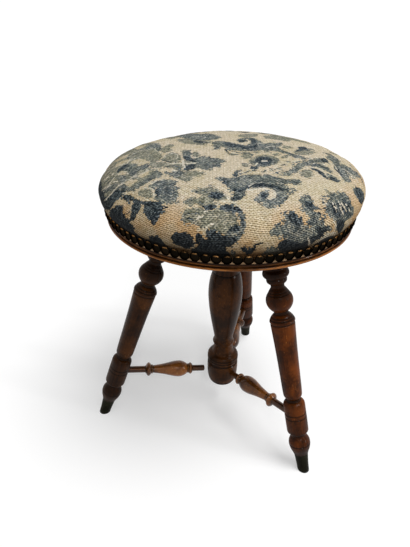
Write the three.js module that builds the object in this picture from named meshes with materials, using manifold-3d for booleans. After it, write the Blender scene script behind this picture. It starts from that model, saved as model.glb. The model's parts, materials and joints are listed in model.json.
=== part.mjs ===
import * as THREE from 'three';
import { mergeVertices } from 'three/addons/utils/BufferGeometryUtils.js';
import Module from 'manifold-3d';

// Revolving piano stool: a round upholstered seat on a screw, over a turned three-legged stand.
// Lengths are in millimetres, +Z is up and the origin is on the floor, under the middle of the stool's box.

const wasm = await Module();
wasm.setup();

// Fits
const gap = 0.3;
const threadGap = 0.35;
const overcut = 12;

// Stand: round platform under the seat
const platformHeight = 362;
const platformThickness = 24;
const platformRadius = 124;
const platformMould = 8;

// Stand: legs, each splayed from the platform down to the floor
const legEdgeDistance = 30;
const legFootReach = 206;
const leftTopSpread = 4.4;
const leftFootSpread = 17;
const legTenonRadius = 10;
const footLength = 34;
const footRadius = 11;
const footDowelRadius = 5;
const footDowelLength = 12;
const vaseLength = 36;
const vaseRadius = 17.2;
const drumLength = 68;
const drumRadius = 17.1;
const shaftRadius = 19.2;
const ballLength = 42.5;
const ballRadius = 20.1;
const capitalLength = 48;
const capitalRadius = 19.3;

// Stand: central column, with the hub that takes the stretchers
const columnBottom = 52;
const hubHeight = 66.5;
const hubRadius = 27.5;
const neckLength = 33.5;
const neckRadius = 18.8;
const balusterLength = 136;
const balusterRadius = 28.6;
const columnTopRadius = 30;
const columnTenonRadius = 26;
const columnTenonLength = 12;

// Stand: stretchers from the legs to the hub
const hubSocketHeight = 77;
const hubTenonDepth = 6.7;
const hubTenonRadius = 5.4;
const hubTenonLength = 22;
const legTenonDepth = 10.1;
const legEndRadius = 5.9;
const legEndLength = 40;
const stretcherRadius = 14.4;
const tenonRounding = 1.8;

// Screw: spindle, nut, stop washer and end nut
const pitch = 6;
const spindleRadius = 12;
const threadDepth = 2;
const liftTurns = 13;
const stopGap = 0.5;
const nutFlangeRadius = 30;
const nutFlangeThickness = 5;
const nutSleeveRadius = 18;
const nutSleeveLength = 36;
const threadLeadIn = 1.2;
const washerRadius = 14.5;
const washerThickness = 4;
const spigotRadius = 6;
const endNutRadius = 10.4;
const endNutHeight = 8;
const spigotProud = 2;
const boreRadius = 15.5;
const boreRoom = 6;

// Seat: iron flange that joins the spindle to the board
const flangeRadius = 55;
const flangeThickness = 5;
const flangeHubRadius = 17;
const flangeHubLength = 10.4;
const spindleNeckRadius = 9.7;
const pinRadius = 2.5;

// Wood screws
const nutScrewCircle = 24;
const nutScrewRadius = 2;
const nutScrewHead = 3.9;
const nutScrewLength = 14;
const flangeScrewCircle = 44;
const flangeScrewRadius = 2.4;
const flangeScrewHead = 4.5;
const flangeScrewLength = 12;
const screwHeadHeight = 2.4;

// Seat: board and moulded rim
const boardThickness = 18;
const rimRadius = 180;
const rimWallThickness = 25.2;
const rimLipWidth = 14.3;
const rimLipHeight = 11.6;
const beadHeight = 5;
const coveHeight = 6.4;
const coveDepth = 3.9;
const bandSetback = 2.5;
const rimRounding = 5;

// Seat: stuffing, cover and nails
const coverThickness = 1.8;
const cushionRadius = 188;
const cushionWidestRise = 44.6;
const crownHeight = 47.5;
const crownFullness = 2.4;
const nailOverlap = 0.2;
const nailHeadHeight = 3.2;

// Counts
const nailCount = 89;
const nutScrewCount = 3;
const flangeScrewCount = 4;
const threadSides = 10;
const seatSides = 40;
const legSides = 14;
const columnSides = 20;
const platformSides = 32;

// Directions of the legs about the column, as shares of a full turn from +X
const legTurnShares = { left: 0.528, right: 0.8625, back: 0.2022 };

// Outlines as [share of the member's length, share of its radius]
const footShares = [[0, 0.85], [0.25, 0.89], [0.88, 1], [1, 1.06]];
const vaseShares = [[0, 0.7], [0.25, 0.88], [0.5, 1], [0.72, 0.96], [0.94, 0.7]];
const drumShares = [
  [0, 0.66], [0.05, 0.66], [0.13, 1], [0.625, 1], [0.65, 0.94], [0.675, 1], [0.84, 1], [0.91, 0.9],
  [0.965, 0.61],
];
const shaftShares = [
  [0.008, 0.54], [0.045, 0.75], [0.6, 0.885], [0.88, 0.975], [0.894, 0.91], [0.91, 1], [0.955, 0.84],
  [0.988, 0.555],
];
const ballShares = [
  [0.06, 0.527], [0.16, 0.77], [0.3, 0.95], [0.46, 1], [0.62, 0.93], [0.78, 0.7], [0.92, 0.51],
];
const capitalShares = [
  [0.04, 0.518], [0.12, 0.77], [0.2, 0.79], [0.25, 0.7], [0.33, 0.97], [0.43, 1], [0.53, 0.87], [0.7, 0.79],
  [1, 0.907],
];
const hubShares = [
  [0, 0.77], [0.07, 0.88], [0.3, 0.985], [0.66, 1], [0.7, 0.93], [0.74, 0.94], [0.78, 1], [0.92, 0.99],
  [1, 0.79],
];
const neckShares = [[0.07, 1.04], [0.5, 0.89], [0.66, 0.95], [0.74, 1], [0.84, 0.88]];
const balusterShares = [
  [0.02, 0.58], [0.14, 0.68], [0.34, 0.84], [0.52, 0.95], [0.7, 1], [0.86, 0.942], [0.97, 0.82], [1, 0.717],
];
const columnTopShares = [[0.03, 0.75], [0.5, 0.78], [0.85, 0.9], [1, 1]];
const stretcherShares = [
  [0.02, 0.5], [0.057, 0.722], [0.1, 0.53], [0.17, 0.76], [0.274, 1], [0.39, 0.94], [0.56, 0.68],
  [0.857, 0.465], [0.89, 0.64], [0.943, 0.854], [0.985, 0.58],
];

// Edge mould of the platform as [share of the mould drawn in, share of the thickness]
const platformEdgeShares = [[1, 0], [0.8, 0.12], [0.35, 0.22], [0, 0.38], [0, 0.76], [0.4, 0.93], [1, 1]];
// Bead and cove under the nails as shares of their own heights and depth
const beadShares = [[1, 0], [0.3, 0.15], [0, 0.5], [0.3, 0.85], [0.8, 1]];
const coveShares = [[1, 0.35], [0.75, 0.98]];
// How the cushion swells from the nails to its widest ring
const swellShares = [[0, 0], [0.46, 0.17], [0.84, 0.55]];
const crownAngleShares = [0, 1 / 6, 2 / 6, 3 / 6, 4 / 6, 5 / 6, 1];
const crownLeanShares = { x: 0.22, y: 0.15 };
const toothShares = [[0, 0], [0.36, 0], [0.5, 1], [0.86, 1]];
const nailShares = [[1, 0], [0.6, 0.8]];
const screwShankShare = 0.7;

// Finishes
const finishes = {
  walnut: { color: 0x4b2413, roughness: 0.36, metalness: 0 },
  darkWalnut: { color: 0x35190e, roughness: 0.4, metalness: 0 },
  goldenWalnut: { color: 0x64361a, roughness: 0.38, metalness: 0 },
  wornRim: { color: 0x7a3f1c, roughness: 0.4, metalness: 0 },
  ebonised: { color: 0x1b1e1a, roughness: 0.45, metalness: 0 },
  plainWood: { color: 0x8a6a45, roughness: 0.8, metalness: 0 },
  iron: { color: 0x3b3a38, roughness: 0.5, metalness: 0.9 },
  steel: { color: 0x77746e, roughness: 0.35, metalness: 1 },
  nailBrass: { color: 0x3a2c20, roughness: 0.35, metalness: 0.8 },
  tapestry: { color: 0x7c7660, roughness: 0.95, metalness: 0 },
  stuffing: { color: 0x9a8b6e, roughness: 1, metalness: 0 },
};

// Solids

function toSolid(geometry) {
  const bare = geometry.clone();
  bare.deleteAttribute('normal');
  bare.deleteAttribute('uv');
  const merged = mergeVertices(bare);
  const index = merged.index.array;
  const triVerts = [];
  for (let i = 0; i < index.length; i += 3) {
    const [a, b, c] = index.slice(i, i + 3);
    if (a !== b && b !== c && c !== a) triVerts.push(a, b, c);
  }
  return new wasm.Manifold(new wasm.Mesh({
    numProp: 3,
    vertProperties: Float32Array.from(merged.attributes.position.array),
    triVerts: Uint32Array.from(triVerts),
  }));
}

function toGeometry(solid) {
  const mesh = solid.getMesh();
  const geometry = new THREE.BufferGeometry();
  geometry.setAttribute('position', new THREE.Float32BufferAttribute(mesh.vertProperties, 3));
  geometry.setIndex(Array.from(mesh.triVerts));
  geometry.computeVertexNormals();
  return geometry;
}

// A turned form: an outline of [radius, height] pairs, revolved about Z
function turned(outline, sides) {
  const points = outline.map(([radius, height]) => new THREE.Vector2(radius, height));
  if (THREE.ShapeUtils.area(points) < 0) points.reverse();
  return new THREE.LatheGeometry(points, sides).rotateX(Math.PI / 2);
}

// A turned form whose outline starts and ends on the axis
function spun(outline, sides) {
  const first = outline[0];
  const last = outline[outline.length - 1];
  return turned([[0, first[1]], ...outline, [0, last[1]]], sides);
}

// A turned ring, whose outline closes on itself
function spunRing(outline, sides) {
  return turned([...outline, outline[0]], sides);
}

function rod(radius, from, to, sides) {
  return spun([[radius, from], [radius, to]], sides);
}

// One member of a turning, from its table of shares
function member(shares, from, length, radius) {
  return shares.map(([along, wide]) => [radius * wide, from + length * along]);
}

function block(side, from, to) {
  const height = to - from;
  return new THREE.BoxGeometry(side, side, height).translate(0, 0, from + height / 2);
}

// Screw thread: the tooth outline carried up a helix, closed by a fan at each end
function helicalRod(coreRadius, depth, tooth, start, turns) {
  const count = Math.ceil(turns) * threadSides;
  const positions = [];
  const index = [];
  for (let i = 0; i <= count; i += 1) {
    const angle = (2 * Math.PI * i) / threadSides;
    const rise = start + (pitch * i) / threadSides;
    for (const [along, high] of tooth) {
      const radius = coreRadius + depth * high;
      positions.push(radius * Math.cos(angle), radius * Math.sin(angle), rise + pitch * along);
    }
  }
  const at = (i, k) => i * tooth.length + k;
  const last = tooth.length - 1;
  const quad = (a, b, c, d) => index.push(a, b, c, a, c, d);
  for (let i = 0; i < count; i += 1) {
    for (let k = 0; k < last; k += 1) quad(at(i, k), at(i + 1, k), at(i + 1, k + 1), at(i, k + 1));
    const above = i + threadSides;
    if (above < count) quad(at(i, last), at(i + 1, last), at(above + 1, 0), at(above, 0));
  }
  const bottomCentre = positions.length / 3;
  positions.push(0, 0, start + pitch * (tooth[0][0] + tooth[2][0]) / 2 + pitch / 4);
  const topCentre = bottomCentre + 1;
  positions.push(0, 0, start + (pitch * count) / threadSides + pitch * tooth[1][0]);
  const bottom = [];
  for (let i = 0; i <= threadSides; i += 1) bottom.push(at(i, 0));
  for (let k = last; k > 0; k -= 1) bottom.push(at(0, k));
  bottom.forEach((a, i) => index.push(bottomCentre, bottom[(i + 1) % bottom.length], a));
  const top = [];
  for (let i = count - threadSides; i <= count; i += 1) top.push(at(i, last));
  for (let k = last - 1; k >= 0; k -= 1) top.push(at(count, k));
  top.forEach((a, i) => index.push(topCentre, a, top[(i + 1) % top.length]));
  const geometry = new THREE.BufferGeometry();
  geometry.setAttribute('position', new THREE.Float32BufferAttribute(positions, 3));
  geometry.setIndex(index);
  return geometry;
}

// A wood screw with a round head under a plate, its point upwards from the face it holds
function woodScrew(radius, headRadius, length) {
  const headTop = -gap - screwHeadHeight;
  return turned([
    [0, headTop],
    [headRadius / 2, headTop],
    [headRadius, headTop / 2],
    [headRadius, -gap],
    [radius, -gap],
    [radius, length * screwShankShare],
    [0, length],
  ], 8);
}

function around(count, radius, make) {
  const copies = [];
  for (let i = 0; i < count; i += 1) {
    copies.push(make().translate(radius, 0, 0).rotateZ((2 * Math.PI * i) / count));
  }
  return copies;
}

function mesh(name, geometry, finish) {
  const part = new THREE.Mesh(geometry, new THREE.MeshStandardMaterial(finishes[finish]));
  part.name = name;
  return part;
}

// Heights of the stack between platform and seat
const platformTop = platformHeight + platformThickness;
const nutFlangeBottom = platformTop + gap;
const nutTop = nutFlangeBottom + nutFlangeThickness;
const nutBottom = nutFlangeBottom - nutSleeveLength;
const flangeHubBottom = nutTop + gap;
const flangePlateBottom = flangeHubBottom + flangeHubLength;
const flangeTop = flangePlateBottom + flangeThickness;
const boardBottom = flangeTop + gap;
const boardTop = boardBottom + boardThickness;
const rimShelf = boardBottom - gap;
const rimBottom = rimShelf - rimLipHeight;
const threadTop = flangeHubBottom - gap;
const spindleEnd = nutBottom - liftTurns * pitch - stopGap + gap;
const washerTop = spindleEnd - gap;
const endNutTop = washerTop - washerThickness - gap;
const spigotEnd = endNutTop - endNutHeight - spigotProud;
const spindleCore = spindleRadius - threadDepth;

// Reach of the legs from the column at the platform's underside
const legTopReach = platformRadius - legEdgeDistance;

// Radii of the rim, from its bead inwards
const bandRadius = rimRadius - bandSetback;
const rabbetRadius = bandRadius - rimWallThickness;
const boardRadius = rabbetRadius - gap;
const rimOpeningRadius = rabbetRadius - rimLipWidth;

// Radius whose flats, not its corners, stand clear of a round of the given radius
const flatsClear = (radius) => radius / Math.cos(Math.PI / threadSides);

// Everything is placed from the column's axis, and the stool is centred over the origin at the end
const stool = new THREE.Group();

// Legs and stretchers

// Line of a leg in its own upright plane: x is the reach from the column, z the height
function legLine(topReach, footReach) {
  const lean = Math.atan2(topReach - footReach, platformHeight);
  const length = platformHeight / Math.cos(lean);
  const socketAlong = footLength + vaseLength + drumLength / 2;
  const socket = new THREE.Vector2(footReach + socketAlong * Math.sin(lean), socketAlong * Math.cos(lean));
  return { lean, length, footReach, socket };
}

// Line of a stretcher from the column's axis to its leg's axis, in the same plane
function stretcherLine(leg) {
  const span = leg.socket.clone().sub(new THREE.Vector2(0, hubSocketHeight));
  return { tilt: Math.atan2(span.x, span.y), reach: span.length() };
}

function alongLeg(geometry, leg) {
  return geometry.rotateY(leg.lean).translate(leg.footReach, 0, 0);
}

function alongStretcher(geometry, line) {
  return geometry.rotateY(line.tilt).translate(0, 0, hubSocketHeight);
}

const squareLeg = legLine(legTopReach, legFootReach);
const squareLine = stretcherLine(squareLeg);
const hubSocketFloor = hubRadius - hubTenonDepth;
const legSocketFloor = drumRadius - legTenonDepth;
const stretcherLength = squareLine.reach - legSocketFloor - hubSocketFloor;
const reachBeyond = platformRadius;

function legGeometry(leg) {
  const line = stretcherLine(leg);
  const vaseFrom = footLength + gap;
  const drumFrom = footLength + vaseLength;
  const shaftFrom = drumFrom + drumLength;
  const capitalFrom = leg.length - capitalLength;
  const ballFrom = capitalFrom - ballLength;
  const outline = [
    ...member(vaseShares, vaseFrom, vaseLength, vaseRadius),
    ...member(drumShares, drumFrom, drumLength, drumRadius),
    ...member(shaftShares, shaftFrom, ballFrom - shaftFrom, shaftRadius),
    ...member(ballShares, ballFrom, ballLength, ballRadius),
    ...member(capitalShares, capitalFrom, capitalLength, capitalRadius),
  ];
  const [crownRadius, crownAt] = outline[outline.length - 1];
  outline.push([crownRadius, crownAt + overcut]);
  const body = toSolid(alongLeg(spun(outline, legSides), leg));
  const above = toSolid(block(reachBeyond * 4, platformHeight - gap, platformTop * 2));
  const tenonBlank = rod(legTenonRadius, capitalFrom, leg.length + platformThickness * 2, legSides);
  const overPlatform = toSolid(block(reachBeyond * 4, platformTop, platformTop * 2));
  const tenon = toSolid(alongLeg(tenonBlank, leg)).subtract(overPlatform);
  const dowelHole = rod(footDowelRadius + gap, 0, footLength + footDowelLength + gap, 12);
  const socketFrom = line.reach - legSocketFloor + gap;
  const socket = rod(legEndRadius + gap, socketFrom - legEndLength, socketFrom, 12);
  return toGeometry(
    body.subtract(above)
      .add(tenon)
      .subtract(toSolid(alongLeg(dowelHole, leg)))
      .subtract(toSolid(alongStretcher(socket, line))),
  );
}

function footGeometry(leg) {
  const outline = member(footShares, 0, footLength, footRadius);
  const [floorRadius, floorAt] = outline[0];
  outline.unshift([floorRadius, floorAt - overcut]);
  const foot = toSolid(alongLeg(spun(outline, legSides), leg));
  const dowel = rod(footDowelRadius, footLength / 2, footLength + footDowelLength, 12);
  const ground = toSolid(block(legFootReach * 4, -overcut * 4, 0));
  return toGeometry(foot.subtract(ground).add(toSolid(alongLeg(dowel, leg))));
}

// The stretcher is as long as the square legs need; a leg that has spread draws it out of the hub
function stretcherGeometry(leg) {
  const line = stretcherLine(leg);
  const legEnd = line.reach - legSocketFloor;
  const hubEnd = legEnd - stretcherLength;
  const middleFrom = hubEnd + hubTenonLength;
  const middleLength = stretcherLength - hubTenonLength - legEndLength;
  const outline = [
    [hubTenonRadius - tenonRounding, hubEnd],
    [hubTenonRadius, hubEnd + tenonRounding],
    [hubTenonRadius, middleFrom],
    ...member(stretcherShares, middleFrom, middleLength, stretcherRadius),
    [legEndRadius, middleFrom + middleLength],
    [legEndRadius, legEnd],
  ];
  return alongStretcher(spun(outline, 12), line);
}

const legs = [
  { side: 'left', line: legLine(legTopReach + leftTopSpread, legFootReach + leftFootSpread) },
  { side: 'right', line: squareLeg },
  { side: 'back', line: squareLeg },
];
for (const { side, line } of legs) {
  const bay = new THREE.Group();
  bay.rotation.z = 2 * Math.PI * legTurnShares[side];
  bay.add(mesh(`leg_${side}`, legGeometry(line), side === 'left' ? 'darkWalnut' : 'walnut'));
  bay.add(mesh(`foot_${side}`, footGeometry(line), 'ebonised'));
  bay.add(mesh(`stretcher_${side}`, stretcherGeometry(line), 'goldenWalnut'));
  stool.add(bay);
}

function turnedAbout(geometry, side) {
  return geometry.rotateZ(2 * Math.PI * legTurnShares[side]);
}

// Platform, bored for the nut's sleeve, the column's tenon, the leg tenons and the nut's screws
function platformGeometry() {
  const outline = platformEdgeShares.map(([drawn, high]) => [
    platformRadius - platformMould * drawn,
    platformHeight + platformThickness * high,
  ]);
  let plate = toSolid(spun(outline, platformSides));
  const cuts = [
    rod(nutSleeveRadius + gap, platformHeight - overcut, platformTop + overcut, columnSides),
    rod(columnTenonRadius + gap, platformHeight - overcut, platformHeight + columnTenonLength, columnSides),
    ...around(nutScrewCount, nutScrewCircle, () => rod(
      nutScrewRadius + gap, nutTop - nutScrewLength - gap, platformTop + overcut, 8,
    )),
  ];
  for (const { side, line } of legs) {
    const above = line.length + platformThickness * 2;
    const hole = rod(legTenonRadius + gap, line.length - capitalLength, above, legSides);
    cuts.push(turnedAbout(alongLeg(hole, line), side));
  }
  for (const cut of cuts) plate = plate.subtract(toSolid(cut));
  return toGeometry(plate);
}
stool.add(mesh('leg_platform', platformGeometry(), 'darkWalnut'));

// Column, bored from the top for the spindle and its stop, and socketed at the hub
function columnGeometry() {
  const neckFrom = columnBottom + hubHeight;
  const balusterFrom = neckFrom + neckLength;
  const topFrom = balusterFrom + balusterLength;
  const shoulder = platformHeight - gap;
  const tenonTop = platformHeight + columnTenonLength - gap;
  const outline = [
    ...member(hubShares, columnBottom, hubHeight, hubRadius),
    ...member(neckShares, neckFrom, neckLength, neckRadius),
    ...member(balusterShares, balusterFrom, balusterLength, balusterRadius),
    ...member(columnTopShares, topFrom, shoulder - topFrom, columnTopRadius),
    [columnTenonRadius, shoulder],
    [columnTenonRadius, tenonTop],
  ];
  let column = toSolid(spun(outline, columnSides));
  const cuts = [
    rod(boreRadius, spigotEnd - boreRoom, tenonTop + overcut, columnSides),
    rod(nutSleeveRadius + gap, nutBottom - gap, tenonTop + overcut, columnSides),
  ];
  for (const { side, line } of legs) {
    const along = stretcherLine(line);
    const socket = rod(hubTenonRadius + gap, hubSocketFloor - gap, hubRadius + overcut, 12);
    cuts.push(turnedAbout(alongStretcher(socket, along), side));
  }
  for (const cut of cuts) column = column.subtract(toSolid(cut));
  return toGeometry(column);
}
stool.add(mesh('column', columnGeometry(), 'walnut'));

// Nut: a flanged iron bush, threaded to run on the spindle with a named clearance
const spindleHelixStart = spindleEnd - pitch * 2;

function nutGeometry() {
  const body = spun([
    [nutSleeveRadius, nutBottom],
    [nutSleeveRadius, nutFlangeBottom],
    [nutFlangeRadius, nutFlangeBottom],
    [nutFlangeRadius, nutTop],
  ], columnSides);
  const ease = threadGap / pitch;
  const tapTooth = [
    [toothShares[0][0] + ease, 0],
    [toothShares[1][0] - ease, 0],
    [toothShares[2][0] - ease, 1],
    [toothShares[3][0] + ease, 1],
  ];
  const core = flatsClear(spindleCore + threadGap);
  const depth = flatsClear(spindleRadius + threadGap) - core;
  const turnsBelow = Math.floor((nutBottom - spindleHelixStart) / pitch) - 2;
  const tapStart = spindleHelixStart + turnsBelow * pitch;
  const turns = (nutTop - tapStart) / pitch + 2;
  const tap = toSolid(helicalRod(core, depth, tapTooth, tapStart, turns));
  const mouth = core + depth + gap;
  const leadIns = [
    spun([[mouth, nutBottom - overcut], [mouth, nutBottom], [core, nutBottom + threadLeadIn]], 24),
    spun([[core, nutTop - threadLeadIn], [mouth, nutTop], [mouth, nutTop + overcut]], 24),
  ];
  let nut = toSolid(body).subtract(tap);
  for (const cut of leadIns) nut = nut.subtract(toSolid(cut));
  const holes = around(nutScrewCount, nutScrewCircle, () => rod(
    nutScrewRadius + gap, nutFlangeBottom - overcut, nutTop + overcut, 8,
  ));
  for (const hole of holes) nut = nut.subtract(toSolid(hole));
  return toGeometry(nut);
}
stool.add(mesh('spindle_nut', nutGeometry(), 'iron'));

const nutScrews = around(nutScrewCount, nutScrewCircle, () => (
  woodScrew(nutScrewRadius, nutScrewHead, nutScrewLength).rotateX(Math.PI).translate(0, 0, nutTop)
));
nutScrews.forEach((screw, i) => stool.add(mesh(`nut_screw_${i + 1}`, screw, 'steel')));

const washer = spunRing([
  [spigotRadius + gap, washerTop - washerThickness],
  [washerRadius, washerTop - washerThickness],
  [washerRadius, washerTop],
  [spigotRadius + gap, washerTop],
], 16);
stool.add(mesh('stop_washer', washer, 'steel'));

// Seat, which turns on the spindle
const seat = new THREE.Group();
stool.add(seat);

const pinHeight = flangeHubBottom + flangeHubLength / 2;

function crossHole() {
  return rod(pinRadius + gap, -flangeHubRadius - overcut, flangeHubRadius + overcut, 10)
    .rotateY(Math.PI / 2).translate(0, 0, pinHeight);
}

function spindleGeometry() {
  const turns = (threadTop - spindleHelixStart) / pitch + 2;
  const helix = toSolid(helicalRod(spindleCore, threadDepth, toothShares, spindleHelixStart, turns));
  const outside = spindleRadius + gap;
  const envelope = spun([
    [spindleCore, spindleEnd],
    [outside, spindleEnd + threadDepth],
    [outside, threadTop - threadDepth],
    [spindleCore, threadTop],
  ], 24);
  const neck = rod(spindleNeckRadius, threadTop - pitch, flangeTop - gap, 16);
  const spigot = rod(spigotRadius, spigotEnd, spindleEnd + pitch, 16);
  return toGeometry(
    helix.intersect(toSolid(envelope)).add(toSolid(neck)).add(toSolid(spigot)).subtract(toSolid(crossHole())),
  );
}
seat.add(mesh('spindle', spindleGeometry(), 'steel'));

const endNut = toSolid(rod(endNutRadius, endNutTop - endNutHeight, endNutTop, 6)).subtract(
  toSolid(rod(spigotRadius + gap, spigotEnd, endNutTop + overcut, 16)),
);
seat.add(mesh('spindle_end_nut', toGeometry(endNut), 'steel'));

function flangeGeometry() {
  let flange = toSolid(spun([
    [flangeHubRadius, flangeHubBottom],
    [flangeHubRadius, flangePlateBottom],
    [flangeRadius, flangePlateBottom],
    [flangeRadius, flangeTop],
  ], 24));
  const cuts = [
    rod(spindleNeckRadius + gap, flangeHubBottom - overcut, flangeTop + overcut, 16),
    crossHole(),
    ...around(flangeScrewCount, flangeScrewCircle, () => rod(
      flangeScrewRadius + gap, flangePlateBottom - overcut, flangeTop + overcut, 8,
    )),
  ];
  for (const cut of cuts) flange = flange.subtract(toSolid(cut));
  return toGeometry(flange);
}
seat.add(mesh('seat_flange', flangeGeometry(), 'iron'));

const pin = rod(pinRadius, -flangeHubRadius + gap, flangeHubRadius - gap, 10)
  .rotateY(Math.PI / 2).translate(0, 0, pinHeight);
seat.add(mesh('flange_pin', pin, 'steel'));

const flangeScrews = around(flangeScrewCount, flangeScrewCircle, () => (
  woodScrew(flangeScrewRadius, flangeScrewHead, flangeThickness + flangeScrewLength)
    .translate(0, 0, flangePlateBottom)
));
flangeScrews.forEach((screw, i) => seat.add(mesh(`flange_screw_${i + 1}`, screw, 'steel')));

function boardGeometry() {
  let board = toSolid(rod(boardRadius, boardBottom, boardTop, seatSides));
  const holes = around(flangeScrewCount, flangeScrewCircle, () => rod(
    flangeScrewRadius + gap, boardBottom - overcut, flangeTop + flangeScrewLength + gap, 8,
  ));
  for (const hole of holes) board = board.subtract(toSolid(hole));
  return toGeometry(board);
}
seat.add(mesh('seat_board', boardGeometry(), 'plainWood'));

// Rim: lip and rabbet inside for the board, bead, cove and nailing band outside
const coveBottom = rimBottom + beadHeight;
const bandBottom = coveBottom + coveHeight;
const rimOutline = [
  [rimOpeningRadius, rimBottom],
  ...beadShares.map(([drawn, high]) => [rimRadius - coveDepth * drawn, rimBottom + beadHeight * high]),
  ...coveShares.map(([drawn, high]) => [rimRadius - coveDepth * drawn, coveBottom + coveHeight * high]),
  [bandRadius, bandBottom],
  [bandRadius, boardTop - rimRounding],
  [bandRadius - rimRounding, boardTop],
  [rabbetRadius, boardTop],
  [rabbetRadius, rimShelf],
  [rimOpeningRadius, rimShelf],
];
seat.add(mesh('seat_rim', spunRing(rimOutline, seatSides), 'wornRim'));

// Close nailing: as many heads as the count says go round, each just touching the next
const skirtRadius = bandRadius + gap + coverThickness;
const nailBackRadius = skirtRadius + gap;
const nailHeadRadius = nailBackRadius * Math.tan(Math.PI / nailCount) + nailOverlap;

// Cushion surface, drawn inwards by an inset: from the nails out to the widest ring, then the crown
const nailHeight = bandBottom + nailHeadRadius;
const swellBottom = nailHeight + nailHeadRadius;
const widestHeight = rimBottom + cushionWidestRise;

function crownPoint(share, inset) {
  const angle = (share * Math.PI) / 2;
  return [
    (cushionRadius - inset) * Math.cos(angle) ** (2 / crownFullness),
    widestHeight + (crownHeight - inset) * Math.sin(angle) ** (2 / crownFullness),
  ];
}

function cushionOutline(inset) {
  const swell = swellShares.map(([out, up]) => [
    skirtRadius - inset + (cushionRadius - skirtRadius) * out,
    swellBottom + (widestHeight - swellBottom) * up,
  ]);
  const crown = crownAngleShares.slice(0, -1).map((share) => crownPoint(share, inset));
  return [...swell, ...crown, [0, widestHeight + crownHeight - inset]];
}

// The stuffing has settled, so the crown leans a little aside above the widest ring
function leaned(geometry) {
  const position = geometry.attributes.position;
  for (let i = 0; i < position.count; i += 1) {
    const above = Math.max(position.getZ(i) - widestHeight, 0);
    position.setX(i, position.getX(i) + crownLeanShares.x * above);
    position.setY(i, position.getY(i) + crownLeanShares.y * above);
  }
  return geometry;
}

// The part of an outline above a level, starting on the level itself
function outlineAbove(outline, level) {
  const first = outline.findIndex(([, height]) => height > level);
  const [[r0, z0], [r1, z1]] = outline.slice(first - 1, first + 1);
  const cut = [r0 + ((r1 - r0) * (level - z0)) / (z1 - z0), level];
  return [cut, ...outline.slice(first)];
}

const stuffingBottom = boardTop + gap;
const stuffing = turned([
  [0, stuffingBottom],
  ...outlineAbove(cushionOutline(coverThickness + gap), stuffingBottom),
], seatSides);
seat.add(mesh('seat_stuffing', leaned(stuffing), 'stuffing'));

const cover = turned([
  ...cushionOutline(0).reverse(),
  [skirtRadius, bandBottom],
  [skirtRadius - coverThickness, bandBottom],
  ...cushionOutline(coverThickness),
], seatSides);
seat.add(mesh('seat_cover', leaned(cover), 'tapestry'));

// Domed upholstery nails, head to head round the lower edge of the cover
function nailHead() {
  const outline = nailShares.map(([wide, high]) => [nailHeadRadius * wide, nailHeadHeight * high]);
  return turned([[0, 0], ...outline, [0, nailHeadHeight]], 6).rotateY(Math.PI / 2);
}

function nailRow() {
  const [first, ...others] = around(nailCount, nailBackRadius, nailHead).map(toSolid);
  return others.reduce((row, nail) => row.add(nail), first);
}
seat.add(mesh('cover_nails', toGeometry(nailRow()).translate(0, 0, nailHeight), 'nailBrass'));

// The column's axis is off the middle of the stool's box, because only three legs reach past the seat
const overall = new THREE.Box3().setFromObject(stool, true);
const middle = overall.getCenter(new THREE.Vector3());
stool.position.set(-middle.x, -middle.y, 0);

const part = new THREE.Group();
part.add(stool);

export default part;
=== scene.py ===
# %% [markdown]
# # A revolving piano stool
# The real stool is a round tapestry seat on a screw, over a turned stand: three splayed legs, a column and
# three stretchers. The frame that this lesson loads already holds every solid piece at its place and size, and
# says which body each one moves with. The lesson makes the surfaces that a person sees around that frame.

# %% The frame and its size
import json
import math

import bpy
import numpy as np
from mathutils import noise, Matrix, Vector
from mathutils.kdtree import KDTree

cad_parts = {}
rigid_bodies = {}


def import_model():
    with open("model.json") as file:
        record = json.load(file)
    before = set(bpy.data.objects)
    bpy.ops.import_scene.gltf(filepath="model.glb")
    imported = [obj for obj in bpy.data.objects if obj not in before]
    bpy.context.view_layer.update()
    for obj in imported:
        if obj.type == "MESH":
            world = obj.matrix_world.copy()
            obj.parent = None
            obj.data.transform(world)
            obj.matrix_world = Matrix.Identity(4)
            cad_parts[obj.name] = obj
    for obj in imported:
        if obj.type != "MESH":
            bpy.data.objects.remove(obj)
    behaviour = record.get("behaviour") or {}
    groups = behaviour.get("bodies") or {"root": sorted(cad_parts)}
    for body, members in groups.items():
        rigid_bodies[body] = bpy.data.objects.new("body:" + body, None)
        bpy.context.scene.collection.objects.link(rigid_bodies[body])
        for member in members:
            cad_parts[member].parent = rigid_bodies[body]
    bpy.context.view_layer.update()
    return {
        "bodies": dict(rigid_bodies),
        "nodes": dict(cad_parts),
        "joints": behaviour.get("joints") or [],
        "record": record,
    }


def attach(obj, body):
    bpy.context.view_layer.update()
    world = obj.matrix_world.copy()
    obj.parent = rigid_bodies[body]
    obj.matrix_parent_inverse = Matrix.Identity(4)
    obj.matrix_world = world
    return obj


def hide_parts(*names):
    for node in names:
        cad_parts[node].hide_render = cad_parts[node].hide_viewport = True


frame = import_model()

turning_joint = next(j for j in frame["joints"] if j["name"] == "seat_turn")
AXIS = Vector((*turning_joint["pos_m"][:2], 0))

# %% [markdown]
# ## Camera
# The photo looks down on the stool by about 32 degrees. The camera is given by where it looks, how far back it
# stands and how it tips, in millimetres from the column's axis, because those are the numbers that were fitted.

# %% The camera
MM = 0.001
CAMERA_AIM = (-34.6, 0.0, 282.5)
CAMERA_DISTANCE = 753.6
CAMERA_DOWN = math.radians(31.78)
CAMERA_ROLL = math.radians(0.78)
CAMERA_LENS = 30.31


def in_scene(name, data):
    """An object in the scene, from its mesh, camera or lamp."""
    made = bpy.data.objects.new(name, data)
    bpy.context.scene.collection.objects.link(made)
    return made


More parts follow.
